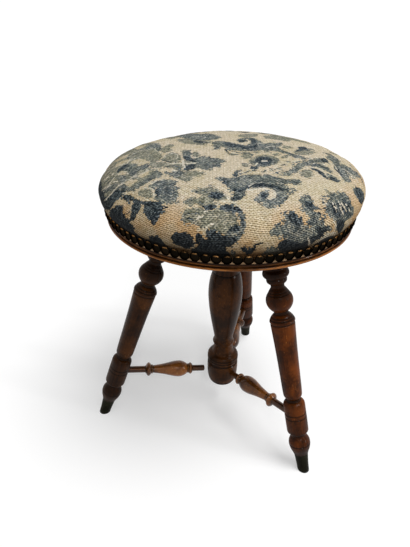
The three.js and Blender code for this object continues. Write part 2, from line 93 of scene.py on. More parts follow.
def make_camera():
    forward = Vector((0, math.cos(CAMERA_DOWN), -math.sin(CAMERA_DOWN)))
    level = Vector((1, 0, 0))
    upright = level.cross(forward)
    side = math.cos(CAMERA_ROLL) * level + math.sin(CAMERA_ROLL) * upright
    top = math.cos(CAMERA_ROLL) * upright - math.sin(CAMERA_ROLL) * level
    turn = Matrix((side, top, -forward)).transposed().to_4x4()
    place = (Vector(CAMERA_AIM) - CAMERA_DISTANCE * forward) * MM + AXIS
    camera = in_scene("camera", bpy.data.cameras.new("camera"))
    camera.data.lens = CAMERA_LENS
    camera.matrix_world = Matrix.Translation(place) @ turn
    bpy.context.scene.camera = camera
    return camera


print("camera at", tuple(round(v, 3) for v in make_camera().matrix_world.translation))

# %% [markdown]
# ## Helpers for node trees
# Every finish below is a tree of nodes. A few small helpers keep the trees readable: one adds a node and joins
# its sockets in the same call, some do sums and noises, and some lay one colour over another.

# %% Nodes and sums
def feed(tree, node, sockets):
    """Sets each named socket of a node, or links it when it is given another node's output."""
    for name, value in sockets.items():
        if isinstance(value, bpy.types.NodeSocket):
            tree.links.new(value, node.inputs[name])
        else:
            node.inputs[name].default_value = value


def put(tree, kind, sockets=None, **settings):
    made = tree.nodes.new(kind)
    for name, value in settings.items():
        setattr(made, name, value)
    feed(tree, made, sockets or {})
    return made


def maths(tree, operation, *values):
    return put(tree, "ShaderNodeMath", dict(enumerate(values)), operation=operation).outputs[0]


def times(tree, first, second):
    """One value times another."""
    return maths(tree, "MULTIPLY", first, second)


def scaled(tree, value, by, plus):
    """A value times a number, plus another value."""
    return maths(tree, "MULTIPLY_ADD", value, by, plus)


def between(tree, value, low, high):
    """Rises smoothly from 0 at low to 1 at high, or falls when low is the larger."""
    return put(tree, "ShaderNodeMapRange", {"Value": value, "From Min": low, "From Max": high},
               interpolation_type="SMOOTHSTEP").outputs[0]


def three(tree, x, y, z=0.0):
    """A place from its three numbers."""
    return put(tree, "ShaderNodeCombineXYZ", {"X": x, "Y": y, "Z": z}).outputs[0]


def stretched(tree, place, by):
    """A place with each of its numbers multiplied by its own amount."""
    return put(tree, "ShaderNodeVectorMath", {0: place, 1: by}, operation="MULTIPLY").outputs[0]


def noise_at(tree, place, scale, detail, **more):
    return put(tree, "ShaderNodeTexNoise",
               {"Vector": place, "Scale": scale, "Detail": detail, **more}).outputs[0]


def attribute(tree, name, output="Fac"):
    return put(tree, "ShaderNodeAttribute", attribute_name=name).outputs[output]


# %% Colours and finishes
def colour(code):
    """A colour written as on screen, such as 'a0522d', as the renderer's linear values."""
    parts = [int(code[i : i + 2], 16) / 255 for i in (0, 2, 4)]
    return [*(p / 12.92 if p <= 0.04045 else ((p + 0.055) / 1.055) ** 2.4 for p in parts), 1.0]


def blend(tree, share, first, second, kind="MIX"):
    """Mixes two colours, each a code or a node's output."""
    first, second = (colour(tone) if isinstance(tone, str) else tone for tone in (first, second))
    return put(tree, "ShaderNodeMix", {0: share, 6: first, 7: second},
               data_type="RGBA", blend_type=kind).outputs[2]


def layered(tree, base, *layers):
    """A colour with layers laid over it in turn, each a share, a tone and, if need be, a kind of mixing."""
    for share, tone, *kind in layers:
        base = blend(tree, share, base, tone, *kind)
    return base


def bumped(tree, height, strength, distance):
    return put(tree, "ShaderNodeBump",
               {"Height": height, "Strength": strength, "Distance": distance}).outputs[0]


def finish_named(name):
    """A new material, its tree and its Principled shader."""
    material = bpy.data.materials.new(name)
    material.use_nodes = True
    return material, material.node_tree, material.node_tree.nodes["Principled BSDF"]


print("a mid brown in linear values:", [round(v, 3) for v in colour("804013")])

# %% [markdown]
# ## Timber
# Turned legs are cut from squared stock, so the grain runs straight along each piece and shows as long
# streaks, with short dark pores between them and small scuffs across both. The pattern has to follow the piece
# and not the room. Each turned piece therefore carries an attribute called timber, which holds the point's
# place in its own stock before the piece was leaned into the stool. A second attribute, relief, is above zero
# on ridges, where hands and shoes rub the stain away. A third, wax, is 1 in the grooves and fades out over the
# next few millimetres, as the dark wax does that a polishing cloth can't reach.

# %% The shared grain group
FLOAT, VECTOR = "NodeSocketFloat", "NodeSocketVector"


def group_tree(name, inputs, outputs):
    """An empty shader group: its tree, what it is given and the node that takes its results."""
    tree = bpy.data.node_groups.new(name, "ShaderNodeTree")
    tree.interface.new_socket("Place", in_out="INPUT", socket_type=VECTOR)
    for socket, value in inputs.items():
        tree.interface.new_socket(socket, in_out="INPUT", socket_type=FLOAT).default_value = value
    for socket in outputs:
        tree.interface.new_socket(socket, in_out="OUTPUT", socket_type=FLOAT)
    return tree, tree.nodes.new("NodeGroupInput").outputs, tree.nodes.new("NodeGroupOutput")


def make_grain_group():
    tree, given, result = group_tree("timber grain", {"Streak length": 30.0, "Pore size": 900.0},
                                     ("Streaks", "Pores", "Cloud", "Scuffs"))
    squeeze = three(tree, 1.0, 1.0, maths(tree, "DIVIDE", 1.0, given["Streak length"]))
    place = stretched(tree, given["Place"], squeeze)
    wide = noise_at(tree, place, 260.0, 4.0, Roughness=0.6, Distortion=0.3)
    fine = noise_at(tree, place, given["Pore size"], 2.0, Roughness=0.7)
    nicks = noise_at(tree, stretched(tree, place, (1.0, 1.0, 8.0)), 620.0, 1.0)
    cloud = noise_at(tree, given["Place"], 22.0, 3.0)
    feed(tree, result, {"Streaks": between(tree, wide, 0.34, 0.68), "Pores": between(tree, fine, 0.6, 0.74),
                        "Scuffs": between(tree, nicks, 0.66, 0.74), "Cloud": between(tree, cloud, 0.35, 0.68)})
    return tree


grain_group = make_grain_group()
print("group:", grain_group.name, [s.name for s in grain_group.interface.items_tree])

# %% [markdown]
# One function makes every stained finish from the same group, with its own colours. The stain is darkest in
# the pores and grooves and thinnest on the ridges and scuffs, and it lies in clouds and blotches. The light
# colour on the ridges is partly wear and partly a painted highlight. A thin hard polish gives the small bright
# lights, and it is duller where there is wax.

# %% Stained and polished wood
SHELLAC, WAX = "ff9c54", "0a0603"
POLISH_ROUGHNESS, GRAIN_STRENGTH, GRAIN_DEPTH = 0.12, 0.22, 0.0006
MOST_WEAR_AND_HIGHLIGHT, MOST_PORES = 0.9, 0.6


def timber(name, dark, middle, light, worn_and_lit, wear=0.5, waxed=0.9, rough=0.4, gloss=0.08, polish=0.11):
    material, tree, shader = finish_named(name)
    place = attribute(tree, "timber", "Vector")
    grain = put(tree, "ShaderNodeGroup", {"Place": place}, node_tree=grain_group).outputs
    streaks, pores, cloud, scuffs = (grain[output] for output in ("Streaks", "Pores", "Cloud", "Scuffs"))
    blotch = noise_at(tree, place, 42.0, 4.0, Roughness=0.62)
    # The light colour on ridges is partly wear and partly a painted highlight; on the rim's cove edge it is
    # only a painted highlight.
    wear_and_highlight = times(tree, between(tree, attribute(tree, "relief"), 0.1, 0.7),
                   scaled(tree, between(tree, blotch, 0.4, 0.6), 0.5, wear - 0.2))
    # This darkening is wax, and on the rim partly painted shade as well.
    wax_and_shade = times(tree, between(tree, attribute(tree, "wax"), 0.1, 0.95), scaled(tree, blotch, 0.6, 0.6))
    stain = layered(
        tree, blend(tree, streaks, dark, middle),
        (times(tree, cloud, 0.75), light),
        (times(tree, between(tree, blotch, 0.56, 0.36), 0.7), dark),
        (times(tree, scuffs, times(tree, cloud, 0.55)), worn_and_lit),
        (maths(tree, "MINIMUM", wear_and_highlight, MOST_WEAR_AND_HIGHLIGHT), worn_and_lit),
        (times(tree, wax_and_shade, waxed), WAX),
        (times(tree, pores, MOST_PORES), WAX),
    )
    ripple = noise_at(tree, place, 110.0, 3.0)
    height = scaled(tree, pores, -0.5, scaled(tree, streaks, 0.35, ripple))
    bump = bumped(tree, height, GRAIN_STRENGTH, GRAIN_DEPTH)
    feed(tree, shader, {
        "Base Color": stain, "Roughness": scaled(tree, wax_and_shade, 0.25, scaled(tree, cloud, 0.1, rough)),
        "Specular IOR Level": gloss, "Specular Tint": colour(SHELLAC),
        "Coat Weight": polish, "Coat Roughness": POLISH_ROUGHNESS, "Normal": bump, "Coat Normal": bump})
    return material


walnut = timber("walnut", "1c0b03", "4e240b", "804013", "b87438")
dark_walnut = timber("dark walnut", "120904", "351c0b", "5c3515", "8a5a2c", wear=0.4)
golden_walnut = timber("golden walnut", "1e0c03", "6c3d15", "ac692c", "e2ae66",
                       wear=0.7, polish=0.45, rough=0.3, gloss=0.25)
rim_wood = timber("rim wood", "28150a", "583214", "7c4b1e", "b47238", wear=0.9, polish=0.12)
plain_wood = timber("plain wood", "6b4f33", "8a6a45", "a17f56", "b39066",
                    wear=0.2, rough=0.8, gloss=0.1, polish=0.0, waxed=0.4)
ebonised = timber("ebonised wood", "0e0f09", "191a10", "26271a", "38382a",
                  wear=0.4, polish=0.04, gloss=0.02, waxed=0.3)
print([material.name for material in (walnut, dark_walnut, golden_walnut, rim_wood, plain_wood, ebonised)])

# %% [markdown]
# ## Turning
# A lathe makes each of these pieces, so one outline says everything: how wide the piece is at each place
# along it. An outline here is a list of runs. Inside a run the curve flows through its points. Where one run
# ends and the next starts there is a crisp corner, as a chisel leaves it, softened a little by sanding.

# %% Outlines
STEP, SOFTEN, NEARLY_STRAIGHT = 0.9, 0.22, 0.9
SCRIBED_DEPTH, SCRIBED_WIDTH = 0.6, 1.3


def flow(points):
    """A smooth curve through the points, sampled about every STEP millimetres."""
    points = np.asarray(points, float)
    if len(points) < 3:
        return points
    ends = np.vstack([2 * points[0] - points[1], points, 2 * points[-1] - points[-2]])
    curve = []
    for a, b, c, d in zip(ends[:-3], ends[1:-2], ends[2:-1], ends[3:]):
        span = np.linalg.norm(c - b)
        t = np.linspace(0, 1, max(2, round(span / STEP)), endpoint=False)[:, None]
        leaving = (c - a) / (span + np.linalg.norm(b - a)) * span
        arriving = (d - b) / (np.linalg.norm(d - c) + span) * span
        curve.append((2 * t**3 - 3 * t**2 + 1) * b + (t**3 - 2 * t**2 + t) * leaving
                     + (3 * t**2 - 2 * t**3) * c + (t**3 - t**2) * arriving)
    return np.vstack([*curve, points[-1:]])


def softened(line):
    """Each corner of the line cut back by SOFTEN, so that it catches the light."""
    kept = [line[0]]
    for before, here, after in zip(line[:-2], line[1:-1], line[2:]):
        one, two = here - before, after - here
        long_one, long_two = np.linalg.norm(one), np.linalg.norm(two)
        if long_one < 1e-6:
            continue
        if long_two < 1e-6 or one @ two / (long_one * long_two) > NEARLY_STRAIGHT:
            kept.append(here)
            continue
        cut = min(SOFTEN, long_one / 3, long_two / 3)
        start, end = here - one / long_one * cut, here + two / long_two * cut
        kept += [start, (start + end + 2 * here) / 4, end]
    return np.array([*kept, line[-1]])


def scribed(line, heights):
    """The line with a fine V cut at each height, as the point of a chisel leaves."""
    for height in heights:
        low, high = height - SCRIBED_WIDTH / 2, height + SCRIBED_WIDTH / 2
        wide = np.interp((low, height, high), line[:, 1], line[:, 0])
        cut = [(wide[0], low), (wide[1] - SCRIBED_DEPTH, height), (wide[2], high)]
        line = np.vstack([line[line[:, 1] < low], cut, line[line[:, 1] > high]])
    return line


def outline_of(*runs, cuts=()):
    return softened(scribed(np.vstack([flow(run) for run in runs]), cuts))


def section_run(section, points):
    """A run, from places along a section of a piece and widths as shares of the section's radius."""
    start, length, radius = section
    return [(radius * wide, start + length * along) for along, wide in points]


# %% [markdown]
# The revolve joins each ring of points to the next and closes the ends on the axis. The relief of a point is
# its radius less the average radius near it, so that it marks ridges and grooves with no painting by hand.
# Wax is counted from the nearest groove along the line.

# %% The lathe
RELIEF_REACH, RELIEF_STEP, GROOVE_DEPTH, NO_GROOVE = 4.0, 0.25, 0.2, 99.0
WAX_REACH, WAX_LEFT = (0.0, 0.6, 1.6, 6.0), (1.0, 1.0, 0.4, 0.0)


def length_along(line):
    """The length of a line from its start to each of its points."""
    return np.concatenate([[0], np.cumsum(np.linalg.norm(np.diff(line, axis=0), axis=1))])


def relief_of(line):
    """How far each point of a line stands proud of the points near it, and how much wax it holds."""
    along = length_along(line)
    even = np.arange(0, along[-1] + RELIEF_STEP, RELIEF_STEP)
    radius, height = (np.interp(even, along, line[:, i]) for i in (0, 1))
    window = int(RELIEF_REACH / RELIEF_STEP) | 1
    kernel = np.hanning(window + 2)[1:-1]
    kernel /= kernel.sum()
    flat = [np.convolve(np.pad(v, window // 2, mode="edge"), kernel, mode="valid") for v in (radius, height)]
    slope = np.gradient(np.array([radius, height]), axis=1)
    outward = np.array([slope[1], -slope[0]]) / (np.linalg.norm(slope, axis=0) + 1e-9)
    proud = (radius - flat[0]) * outward[0] + (height - flat[1]) * outward[1]
    grooves = even[proud < -GROOVE_DEPTH]
    away = np.abs(along[:, None] - grooves).min(1) if len(grooves) else np.full(len(along), NO_GROOVE)
    return np.interp(along, even, proud), np.interp(away, WAX_REACH, WAX_LEFT)


def lathe(line, sides, closed=False):
    """Points, faces and marks of a line of (radius, height), revolved about Z. Heights rise along the line."""
    angle = np.linspace(0, 2 * math.pi, sides, endpoint=False)
    ring = np.stack([np.cos(angle), np.sin(angle)], 1)
    points = np.concatenate([np.column_stack([ring * r, np.full(sides, z)]) for r, z in line])
    marks = [np.repeat(values, sides) for values in relief_of(line)]
    rows, around, faces = len(line), [(k, (k + 1) % sides) for k in range(sides)], []
    for i in range(rows if closed else rows - 1):
        low, high = i * sides, (i + 1) % rows * sides
        faces += [(low + k, low + n, high + n, high + k) for k, n in around]
    if not closed:
        points = np.vstack([points, [[0, 0, line[0][1]], [0, 0, line[-1][1]]]])
        foot, head, top = rows * sides, rows * sides + 1, (rows - 1) * sides
        for k, n in around:
            faces += [(foot, n, k), (head, top + k, top + n)]
        marks = [np.append(values, [0.0, 0.0]) for values in marks]
    return points, faces, dict(zip(("relief", "wax"), marks))


# %% Pieces
def add_values(mesh, name, values):
    mesh.attributes.new(name, "FLOAT", "POINT").data.foreach_set("value", np.asarray(values, np.float32))


def add_places(mesh, name, places):
    flat = np.asarray(places, np.float32).ravel()
    mesh.attributes.new(name, "FLOAT_VECTOR", "POINT").data.foreach_set("vector", flat)


def smooth_mesh(name, places, faces):
    mesh = bpy.data.meshes.new(name)
    mesh.from_pydata(places.tolist(), [], faces)
    mesh.shade_smooth()
    return mesh


def make_piece(name, points, faces, material, timber_at=None, marks=None, shift=(0, 0, 0)):
    """A piece from points in millimetres from the column's axis. A shift moves it to wood of its own."""
    mesh = smooth_mesh(name, np.asarray(points, float) * MM + np.array(AXIS), faces)
    mesh.materials.append(material)
    if timber_at is not None:
        add_places(mesh, "timber", (timber_at + np.array(shift)) * MM)
    for mark, values in (marks or {}).items():
        add_values(mesh, mark, values)
    return in_scene(name, mesh)


def stands_for(piece, body, slot, *nodes):
    """Puts a piece on its body, in place of the frame's nodes. The slot, what it is made of, is not used."""
    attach(piece, body)
    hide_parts(*nodes)
    print(piece.name, len(piece.data.polygons), "faces, on", body)


# %% [markdown]
# ## Legs
# All three legs were turned to one outline: foot, vase, plain drum that takes the stretcher, long tapered
# shaft, ball and capital. The sizes are along the leg from the floor. Each leg leans out from the platform, and
# the left one has spread a little further, as the photo shows.

# %% The outline of a leg
PLATFORM_HEIGHT, PLATFORM_TOP, JOINT_GAP = 362.0, 386.0, 0.3
UNDERSIDE = PLATFORM_HEIGHT - JOINT_GAP
LEG_TURNS = {"left": 0.528, "right": 0.8625, "back": 0.2022}
LEG_REACH = {"left": (98.4, 223.0), "right": (94.0, 206.0), "back": (94.0, 206.0)}
FOOT, VASE, DRUM, BALL, CAPITAL = 34.0, 36.0, 68.0, 42.5, 48.0
LEG_RUNS = [
    # section, then points as (place along it, width as a share of its radius)
    ("vase", (0, 0.7), (0.12, 0.78), (0.3, 0.92), (0.5, 1.0), (0.68, 0.98), (0.82, 0.86), (0.94, 0.7)),
    ("drum", (0.0, 0.66), (0.05, 0.66)),
    ("drum", (0.1, 0.93), (0.13, 1), (0.84, 1)),
    ("drum", (0.84, 1), (0.89, 0.965), (0.93, 0.85), (0.965, 0.62)),
    ("shaft", (0.008, 0.54), (0.03, 0.68), (0.06, 0.765), (0.3, 0.815), (0.6, 0.875), (0.8, 0.94),
     (0.872, 0.965)),
    ("shaft", (0.874, 0.955), (0.884, 0.9), (0.893, 0.9)),
    ("shaft", (0.897, 0.965), (0.906, 1.0), (0.918, 0.985), (0.945, 0.88), (0.97, 0.73), (0.988, 0.56)),
    ("ball", (0.06, 0.527), (0.09, 0.65), (0.17, 0.8), (0.3, 0.945), (0.45, 1), (0.6, 0.94), (0.74, 0.77),
     (0.86, 0.61), (0.93, 0.5)),
    ("capital", (0.04, 0.518), (0.08, 0.66), (0.13, 0.76), (0.2, 0.79)),
    ("capital", (0.25, 0.72), (0.29, 0.9), (0.36, 1.0), (0.43, 1.0), (0.49, 0.93), (0.52, 0.87)),
    ("capital", (0.56, 0.82), (0.7, 0.79), (0.86, 0.83), (1.06, 0.93)),
]
LEG_CUTS = [("vase", 0.56 - JOINT_GAP / VASE), ("drum", 0.53), ("drum", 0.64), ("shaft", 0.932),
            ("shaft", 0.955), ("ball", 0.7), ("ball", 0.78), ("ball", 0.86), ("capital", 0.66)]


def leg_sections(length):
    """The start, the length and the radius of each section of a leg."""
    shaft_from, ball_from = FOOT + VASE + DRUM, length - CAPITAL - BALL
    return {"foot": (0.0, FOOT, 11.8), "vase": (FOOT + JOINT_GAP, VASE, 17.2),
            "drum": (FOOT + VASE, DRUM, 17.1), "shaft": (shaft_from, ball_from - shaft_from, 19.2),
            "ball": (ball_from, BALL, 20.1), "capital": (length - CAPITAL, CAPITAL, 19.3)}


def leg_outline(length):
    sections = leg_sections(length)
    cuts = [sections[name][0] + sections[name][1] * share for name, share in LEG_CUTS]
    return outline_of(*(section_run(sections[name], points) for name, *points in LEG_RUNS), cuts=cuts)


def leg_lean(side):
    top, foot = LEG_REACH[side]
    return math.atan2(top - foot, PLATFORM_HEIGHT)


def leg_frame(side):
    """The move from a leg's own axis to the stool, the direction of the leg and its length."""
    lean = leg_lean(side)
    turn = Matrix.Rotation(2 * math.pi * LEG_TURNS[side], 4, "Z")
    matrix = turn @ Matrix.Translation((LEG_REACH[side][1], 0, 0)) @ Matrix.Rotation(lean, 4, "Y")
    return matrix, np.array(matrix.to_3x3() @ Vector((0, 0, 1))), PLATFORM_HEIGHT / math.cos(lean)


def moved(points, matrix):
    return points @ np.array(matrix.to_3x3()).T + np.array(matrix.translation)


print({side: f"{math.degrees(leg_lean(side)):.1f} degrees out" for side in LEG_TURNS})

# %% [markdown]
# The capital has to stop at the platform's underside, and a leaning round would poke through it. So the rings
# above that level slide down their own line onto it, which is the cut that the maker sawed. From there a thin
# tenon goes on through the platform and is sawn off flush with its top, where its end grain shows.

# %% Making the legs
LEG_SIDES, LEG_TENON, SAWN_PROUD, END_GRAIN_WAX = 56, 10.0, 0.1, 0.3
SMOKED = (FOOT, FOOT + 12), (1, 0)
FOOT_RUNS = [(9.3, -8), (9.4, 1.5)], [(9.5, 3), (9.75, 12), (10.6, 24), (11.2, 31), (11.8, 34)]
LEG_DARKENING = [
    # section, millimetres above its start, how much darker the leg is there
    ("foot", 34, 0.85), ("foot", 54, 0.4), ("shaft", 0, 0.45), ("shaft", 12, 0.15), ("shaft", 60, 0.0),
    ("ball", -8, 0.15), ("ball", 20, 0.45), ("ball", 42.5, 0.65), ("capital", 18, 0.9),
]


def leg_darkening(heights, length):
    """Wax and smoke lie thicker on the low parts of a leg than on the shaft, and the top of a leg, under the
    seat, is darker as well.
    """
    sections = leg_sections(length)
    places = [sections[name][0] + above for name, above, _ in LEG_DARKENING]
    return np.interp(heights, places, [thick for *_, thick in LEG_DARKENING])


def slid_onto(points, direction, level):
    """The points moved along the direction until they are at the level."""
    return points - np.outer((points[:, 2] - level) / direction[2], direction)


def make_leg(side, material, number):
    matrix, direction, length = leg_frame(side)
    line = np.vstack([leg_outline(length), [(LEG_TENON, length), (LEG_TENON, length + 1)]])
    points, faces, marks = lathe(line, LEG_SIDES)
    placed = moved(points, matrix)
    end_from = (len(line) - 1) * LEG_SIDES
    end = np.r_[end_from:len(points) - 2, len(points) - 1]
    past = placed[:, 2] > UNDERSIDE
    past[end_from - LEG_SIDES:end_from] = True
    placed[past] = slid_onto(placed[past], direction, UNDERSIDE)
    placed[end] = slid_onto(placed[end], direction, PLATFORM_TOP + SAWN_PROUD)
    smoke = np.interp(points[:, 2], *SMOKED)
    marks["wax"] = np.maximum.reduce([marks["wax"], leg_darkening(points[:, 2], length), smoke])
    marks["wax"][end] = END_GRAIN_WAX
    leg = make_piece(f"leg_{side}_turned", placed, faces, material, points, marks, (40 * number, 15, 0))
    stands_for(leg, "stand", "dark_walnut" if side == "left" else "walnut", f"leg_{side}")


def make_foot(side, number):
    matrix, direction, _ = leg_frame(side)
    points, faces, marks = lathe(outline_of(*FOOT_RUNS), LEG_SIDES)
    placed = moved(points, matrix)
    past = placed[:, 2] < 0
    placed[past] = slid_onto(placed[past], direction, 0.0)
    foot = make_piece(f"foot_{side}_turned", placed, faces, ebonised, points, marks, (30 * number, 60, 0))
    stands_for(foot, "stand", "ebonised_wood", f"foot_{side}")


for number, (side, material) in enumerate((("left", dark_walnut), ("right", walnut), ("back", walnut))):
    make_leg(side, material, number)
    make_foot(side, number)

# %% [markdown]
# ## Column
# The column hangs from the platform and ends in a cup-shaped hub, which takes the three stretchers. Its outline
# runs up the outside, over the tenon in the platform and down the bore that holds the lifting screw.

# %% The column's outline
COLUMN_BOTTOM, HUB, NECK, BALUSTER = 52.0, 66.5, 33.5, 136.0
NECK_FROM, BELLY_FROM = COLUMN_BOTTOM + HUB, COLUMN_BOTTOM + HUB + NECK
CAP_FROM = BELLY_FROM + BALUSTER
TENON_TOP, TENON_RADIUS = PLATFORM_HEIGHT + 11.7, 26.0
BORE, SLEEVE_BORE, SLEEVE_BOTTOM, BORE_FLOOR = 15.5, 18.3, 350.0, 251.5
COLUMN_SECTIONS = {"hub": (COLUMN_BOTTOM, HUB, 27.5), "neck": (NECK_FROM, NECK, 18.8),
                   "belly": (BELLY_FROM, BALUSTER, 28.6)}
COLUMN_RUNS = [
    ("hub", (0, 0.76), (0.03, 0.83), (0.07, 0.885), (0.16, 0.945), (0.3, 0.985), (0.5, 1.005), (0.66, 1)),
    ("hub", (0.69, 0.935), (0.745, 0.94)),
    ("hub", (0.78, 1), (0.86, 1.005), (0.92, 0.99), (0.97, 0.9), (1, 0.79)),
    ("neck", (0.03, 1.06), (0.12, 0.97), (0.5, 0.89), (0.6, 0.9)),
    ("neck", (0.66, 0.94), (0.7, 0.985), (0.76, 1), (0.82, 0.96), (0.86, 0.9)),
    ("belly", (0.01, 0.57), (0.06, 0.61), (0.14, 0.68), (0.34, 0.84), (0.52, 0.95), (0.7, 1), (0.86, 0.942),
     (0.95, 0.85), (0.985, 0.79)),
]
HUB_CUTS = (0.09, 0.82, 0.9)


def column_outline():
    collar = [(20.6, CAP_FROM + 0.4), (21.6, CAP_FROM + 2.2), (22.6, CAP_FROM + 3)]
    rise = UNDERSIDE - CAP_FROM
    cap = [(22.5, CAP_FROM + 4), (23.4, CAP_FROM + rise * 0.5), (27, CAP_FROM + rise * 0.85), (30, UNDERSIDE)]
    runs = [section_run(COLUMN_SECTIONS[name], points) for name, *points in COLUMN_RUNS]
    outside = outline_of(*runs, collar, cap, cuts=[COLUMN_BOTTOM + HUB * share for share in HUB_CUTS])
    inside = [(TENON_RADIUS, UNDERSIDE), (TENON_RADIUS, TENON_TOP), (SLEEVE_BORE, TENON_TOP),
              (SLEEVE_BORE, SLEEVE_BOTTOM), (BORE, SLEEVE_BOTTOM), (BORE, BORE_FLOOR)]
    return np.vstack([outside, inside])


column_points, faces, column_marks = lathe(column_outline(), 80)
column = make_piece("column_turned", column_points, faces, dark_walnut)
print(column.name, len(column.data.polygons), "faces")

# %% [markdown]
# The hub's sockets are drilled with a Boolean, because the drill comes in at a slant. A Boolean makes new
# points, so the marks are worked out after it: the grain from each point's own place, and relief and wax from
# the nearest point of the turned piece, or no relief and full wax inside the sockets, far from any.

# %% Drilling the sockets
HUB_SOCKET, SOCKET_RADIUS, SOCKET_FLOOR, DRILL_END, NEW_POINT = 77.0, 5.7, 20.5, 40.0, 1.5


def stretcher_line(side):
    """How far a stretcher tilts from upright, and how far its leg's axis is from the middle of the hub."""
    lean, along = leg_lean(side), FOOT + VASE + DRUM / 2
    out, up = LEG_REACH[side][1] + along * math.sin(lean), along * math.cos(lean) - HUB_SOCKET
    return math.atan2(out, up), math.hypot(out, up)


def stretcher_frame(side):
    return (Matrix.Rotation(2 * math.pi * LEG_TURNS[side], 4, "Z") @ Matrix.Translation((0, 0, HUB_SOCKET))
            @ Matrix.Rotation(stretcher_line(side)[0], 4, "Y"))


def cut_away(piece, cutter):
    """Takes the cutter's shape out of a piece, which stays a plain mesh."""
    cut = piece.modifiers.new("cut", "BOOLEAN")
    cut.object, cut.operation, cut.solver = cutter, "DIFFERENCE", "EXACT"
    graph = bpy.context.evaluated_depsgraph_get()
    mesh = bpy.data.meshes.new_from_object(piece.evaluated_get(graph), depsgraph=graph)
    piece.modifiers.clear()
    piece.data = mesh
    bpy.data.objects.remove(cutter)


def point_places(mesh):
    """The points of a mesh in millimetres from the column's axis."""
    flat = np.empty(len(mesh.vertices) * 3, np.float32)
    mesh.vertices.foreach_get("co", flat)
    return (flat.reshape(-1, 3) - np.array(AXIS)) / MM


for side in LEG_TURNS:
    drill, faces, _ = lathe(np.array([(SOCKET_RADIUS, SOCKET_FLOOR), (SOCKET_RADIUS, DRILL_END)]), 24)
    cut_away(column, make_piece("drill", moved(drill, stretcher_frame(side)), faces, dark_walnut))
tree = KDTree(len(column_points))
for i, point in enumerate(column_points):
    tree.insert(point, i)
tree.balance()
places = point_places(column.data)
nearest, away = np.array([tree.find(place)[1:] for place in places]).T
add_places(column.data, "timber", (places + (200, 30, 0)) * MM)
for mark, values in column_marks.items():
    inside = mark == "wax"
    add_values(column.data, mark, np.where(away > NEW_POINT, inside, values[nearest.astype(int)]))
stands_for(column, "stand", "walnut", "column")

# %% [markdown]
# ## Stretchers
# Each stretcher runs from the hub to its leg's drum. It is thin at the hub, swells to a vase between two
# beads, and thins again towards the leg. The left one has drawn out of the hub, because its leg has spread.

# %% The stretchers
LEG_SEAT, HUB_SEAT, HUB_ROD, LEG_ROD, ROD_RADIUS = 7.0, 20.8, 22.0, 40.0, 5.9
STRETCHER_LENGTH = stretcher_line("right")[1] - LEG_SEAT - HUB_SEAT
SWELL = STRETCHER_LENGTH - HUB_ROD - LEG_ROD
SWELL_RADIUS = 14.4
# millimetres past the hub's rod, or from the leg's axis, and the thickness of the wax there
WAX_AT_HUB, WAX_AT_LEG = ((2, 8), (0.75, 0)), ((-50, -43), (0, 0.35))
SWELL_RUNS = [
    [(0.012, 0.5), (0.03, 0.64), (0.052, 0.722), (0.075, 0.64), (0.092, 0.52)],
    [(0.094, 0.6), (0.106, 0.6), (0.11, 0.53)],
    [(0.125, 0.6), (0.16, 0.76), (0.21, 0.91), (0.27, 1), (0.33, 1.0), (0.4, 0.95), (0.5, 0.82), (0.6, 0.68),
     (0.72, 0.56), (0.84, 0.465)],
    [(0.85, 0.56), (0.868, 0.56), (0.872, 0.5)],
    [(0.88, 0.58), (0.9, 0.74), (0.93, 0.854), (0.958, 0.76), (0.98, 0.56)],
]


def stretcher_outline(hub_end):
    start = hub_end + HUB_ROD
    tenon = [(0.6, hub_end), (3.6, hub_end), (4.9, hub_end + 0.8), (5.4, hub_end + 2)]
    plain = [(5.4, hub_end + 2), (5.4, hub_end + 10), (5.4, start)]
    swell = [section_run((start, SWELL, SWELL_RADIUS), points) for points in SWELL_RUNS]
    rod = [(ROD_RADIUS, start + SWELL + further) for further in (0, 15, LEG_ROD)]
    return outline_of(tenon, plain, *swell, rod)


for number, side in enumerate(LEG_TURNS):
    reach = stretcher_line(side)[1]
    hub_end = reach - LEG_SEAT - STRETCHER_LENGTH
    points, faces, marks = lathe(stretcher_outline(hub_end), 40)
    near_hub = np.interp(points[:, 2] - hub_end - HUB_ROD, *WAX_AT_HUB)
    near_leg = np.interp(points[:, 2] - reach, *WAX_AT_LEG)
    marks["wax"] = np.maximum.reduce([marks["wax"], near_hub, near_leg])
    stretcher = make_piece(f"stretcher_{side}_turned", moved(points, stretcher_frame(side)), faces,
                           golden_walnut, points, marks, (25 * number, 90, 0))
    stands_for(stretcher, "stand", "golden_walnut", f"stretcher_{side}")

# %% [markdown]
# ## Seat rim
# The rim is a turned ring: a round bead below, its crest bare in patches, partly from wear and partly as a
# painted highlight, a dark cove above it, with a thin painted highlight along its lower edge, and the flat band
# that the cover is nailed to. The top of the cove is dark with wax and painted shade, and the underside of the
# bead with painted shade. Seen from under the stool it has a lip that carries the board.

# %% The rim
RIM_BOTTOM, BAND_RADIUS, BOARD_TOP = 395.4, 177.5, 425.3
BEAD_WEAR_AND_HIGHLIGHT_HEIGHTS, COVE_EDGE_HIGHLIGHT_HEIGHTS, GROOVE = (396.9, 400.2), (401.2, 402.8), (400.0, 400.8)
# radii or heights, and how much wear, painted highlight, wax and painted shade the rim has there
BEAD_WEAR_AND_HIGHLIGHT, COVE_EDGE_HIGHLIGHT = ((178.9, 179.8), (0, 1)), 0.45
SHADE_UNDER_BEAD, WAX_AND_SHADE_IN_COVE = ((395.68, 396.4), (0.9, 0)), ((401.2, 404.4), (0.1, 0.9))


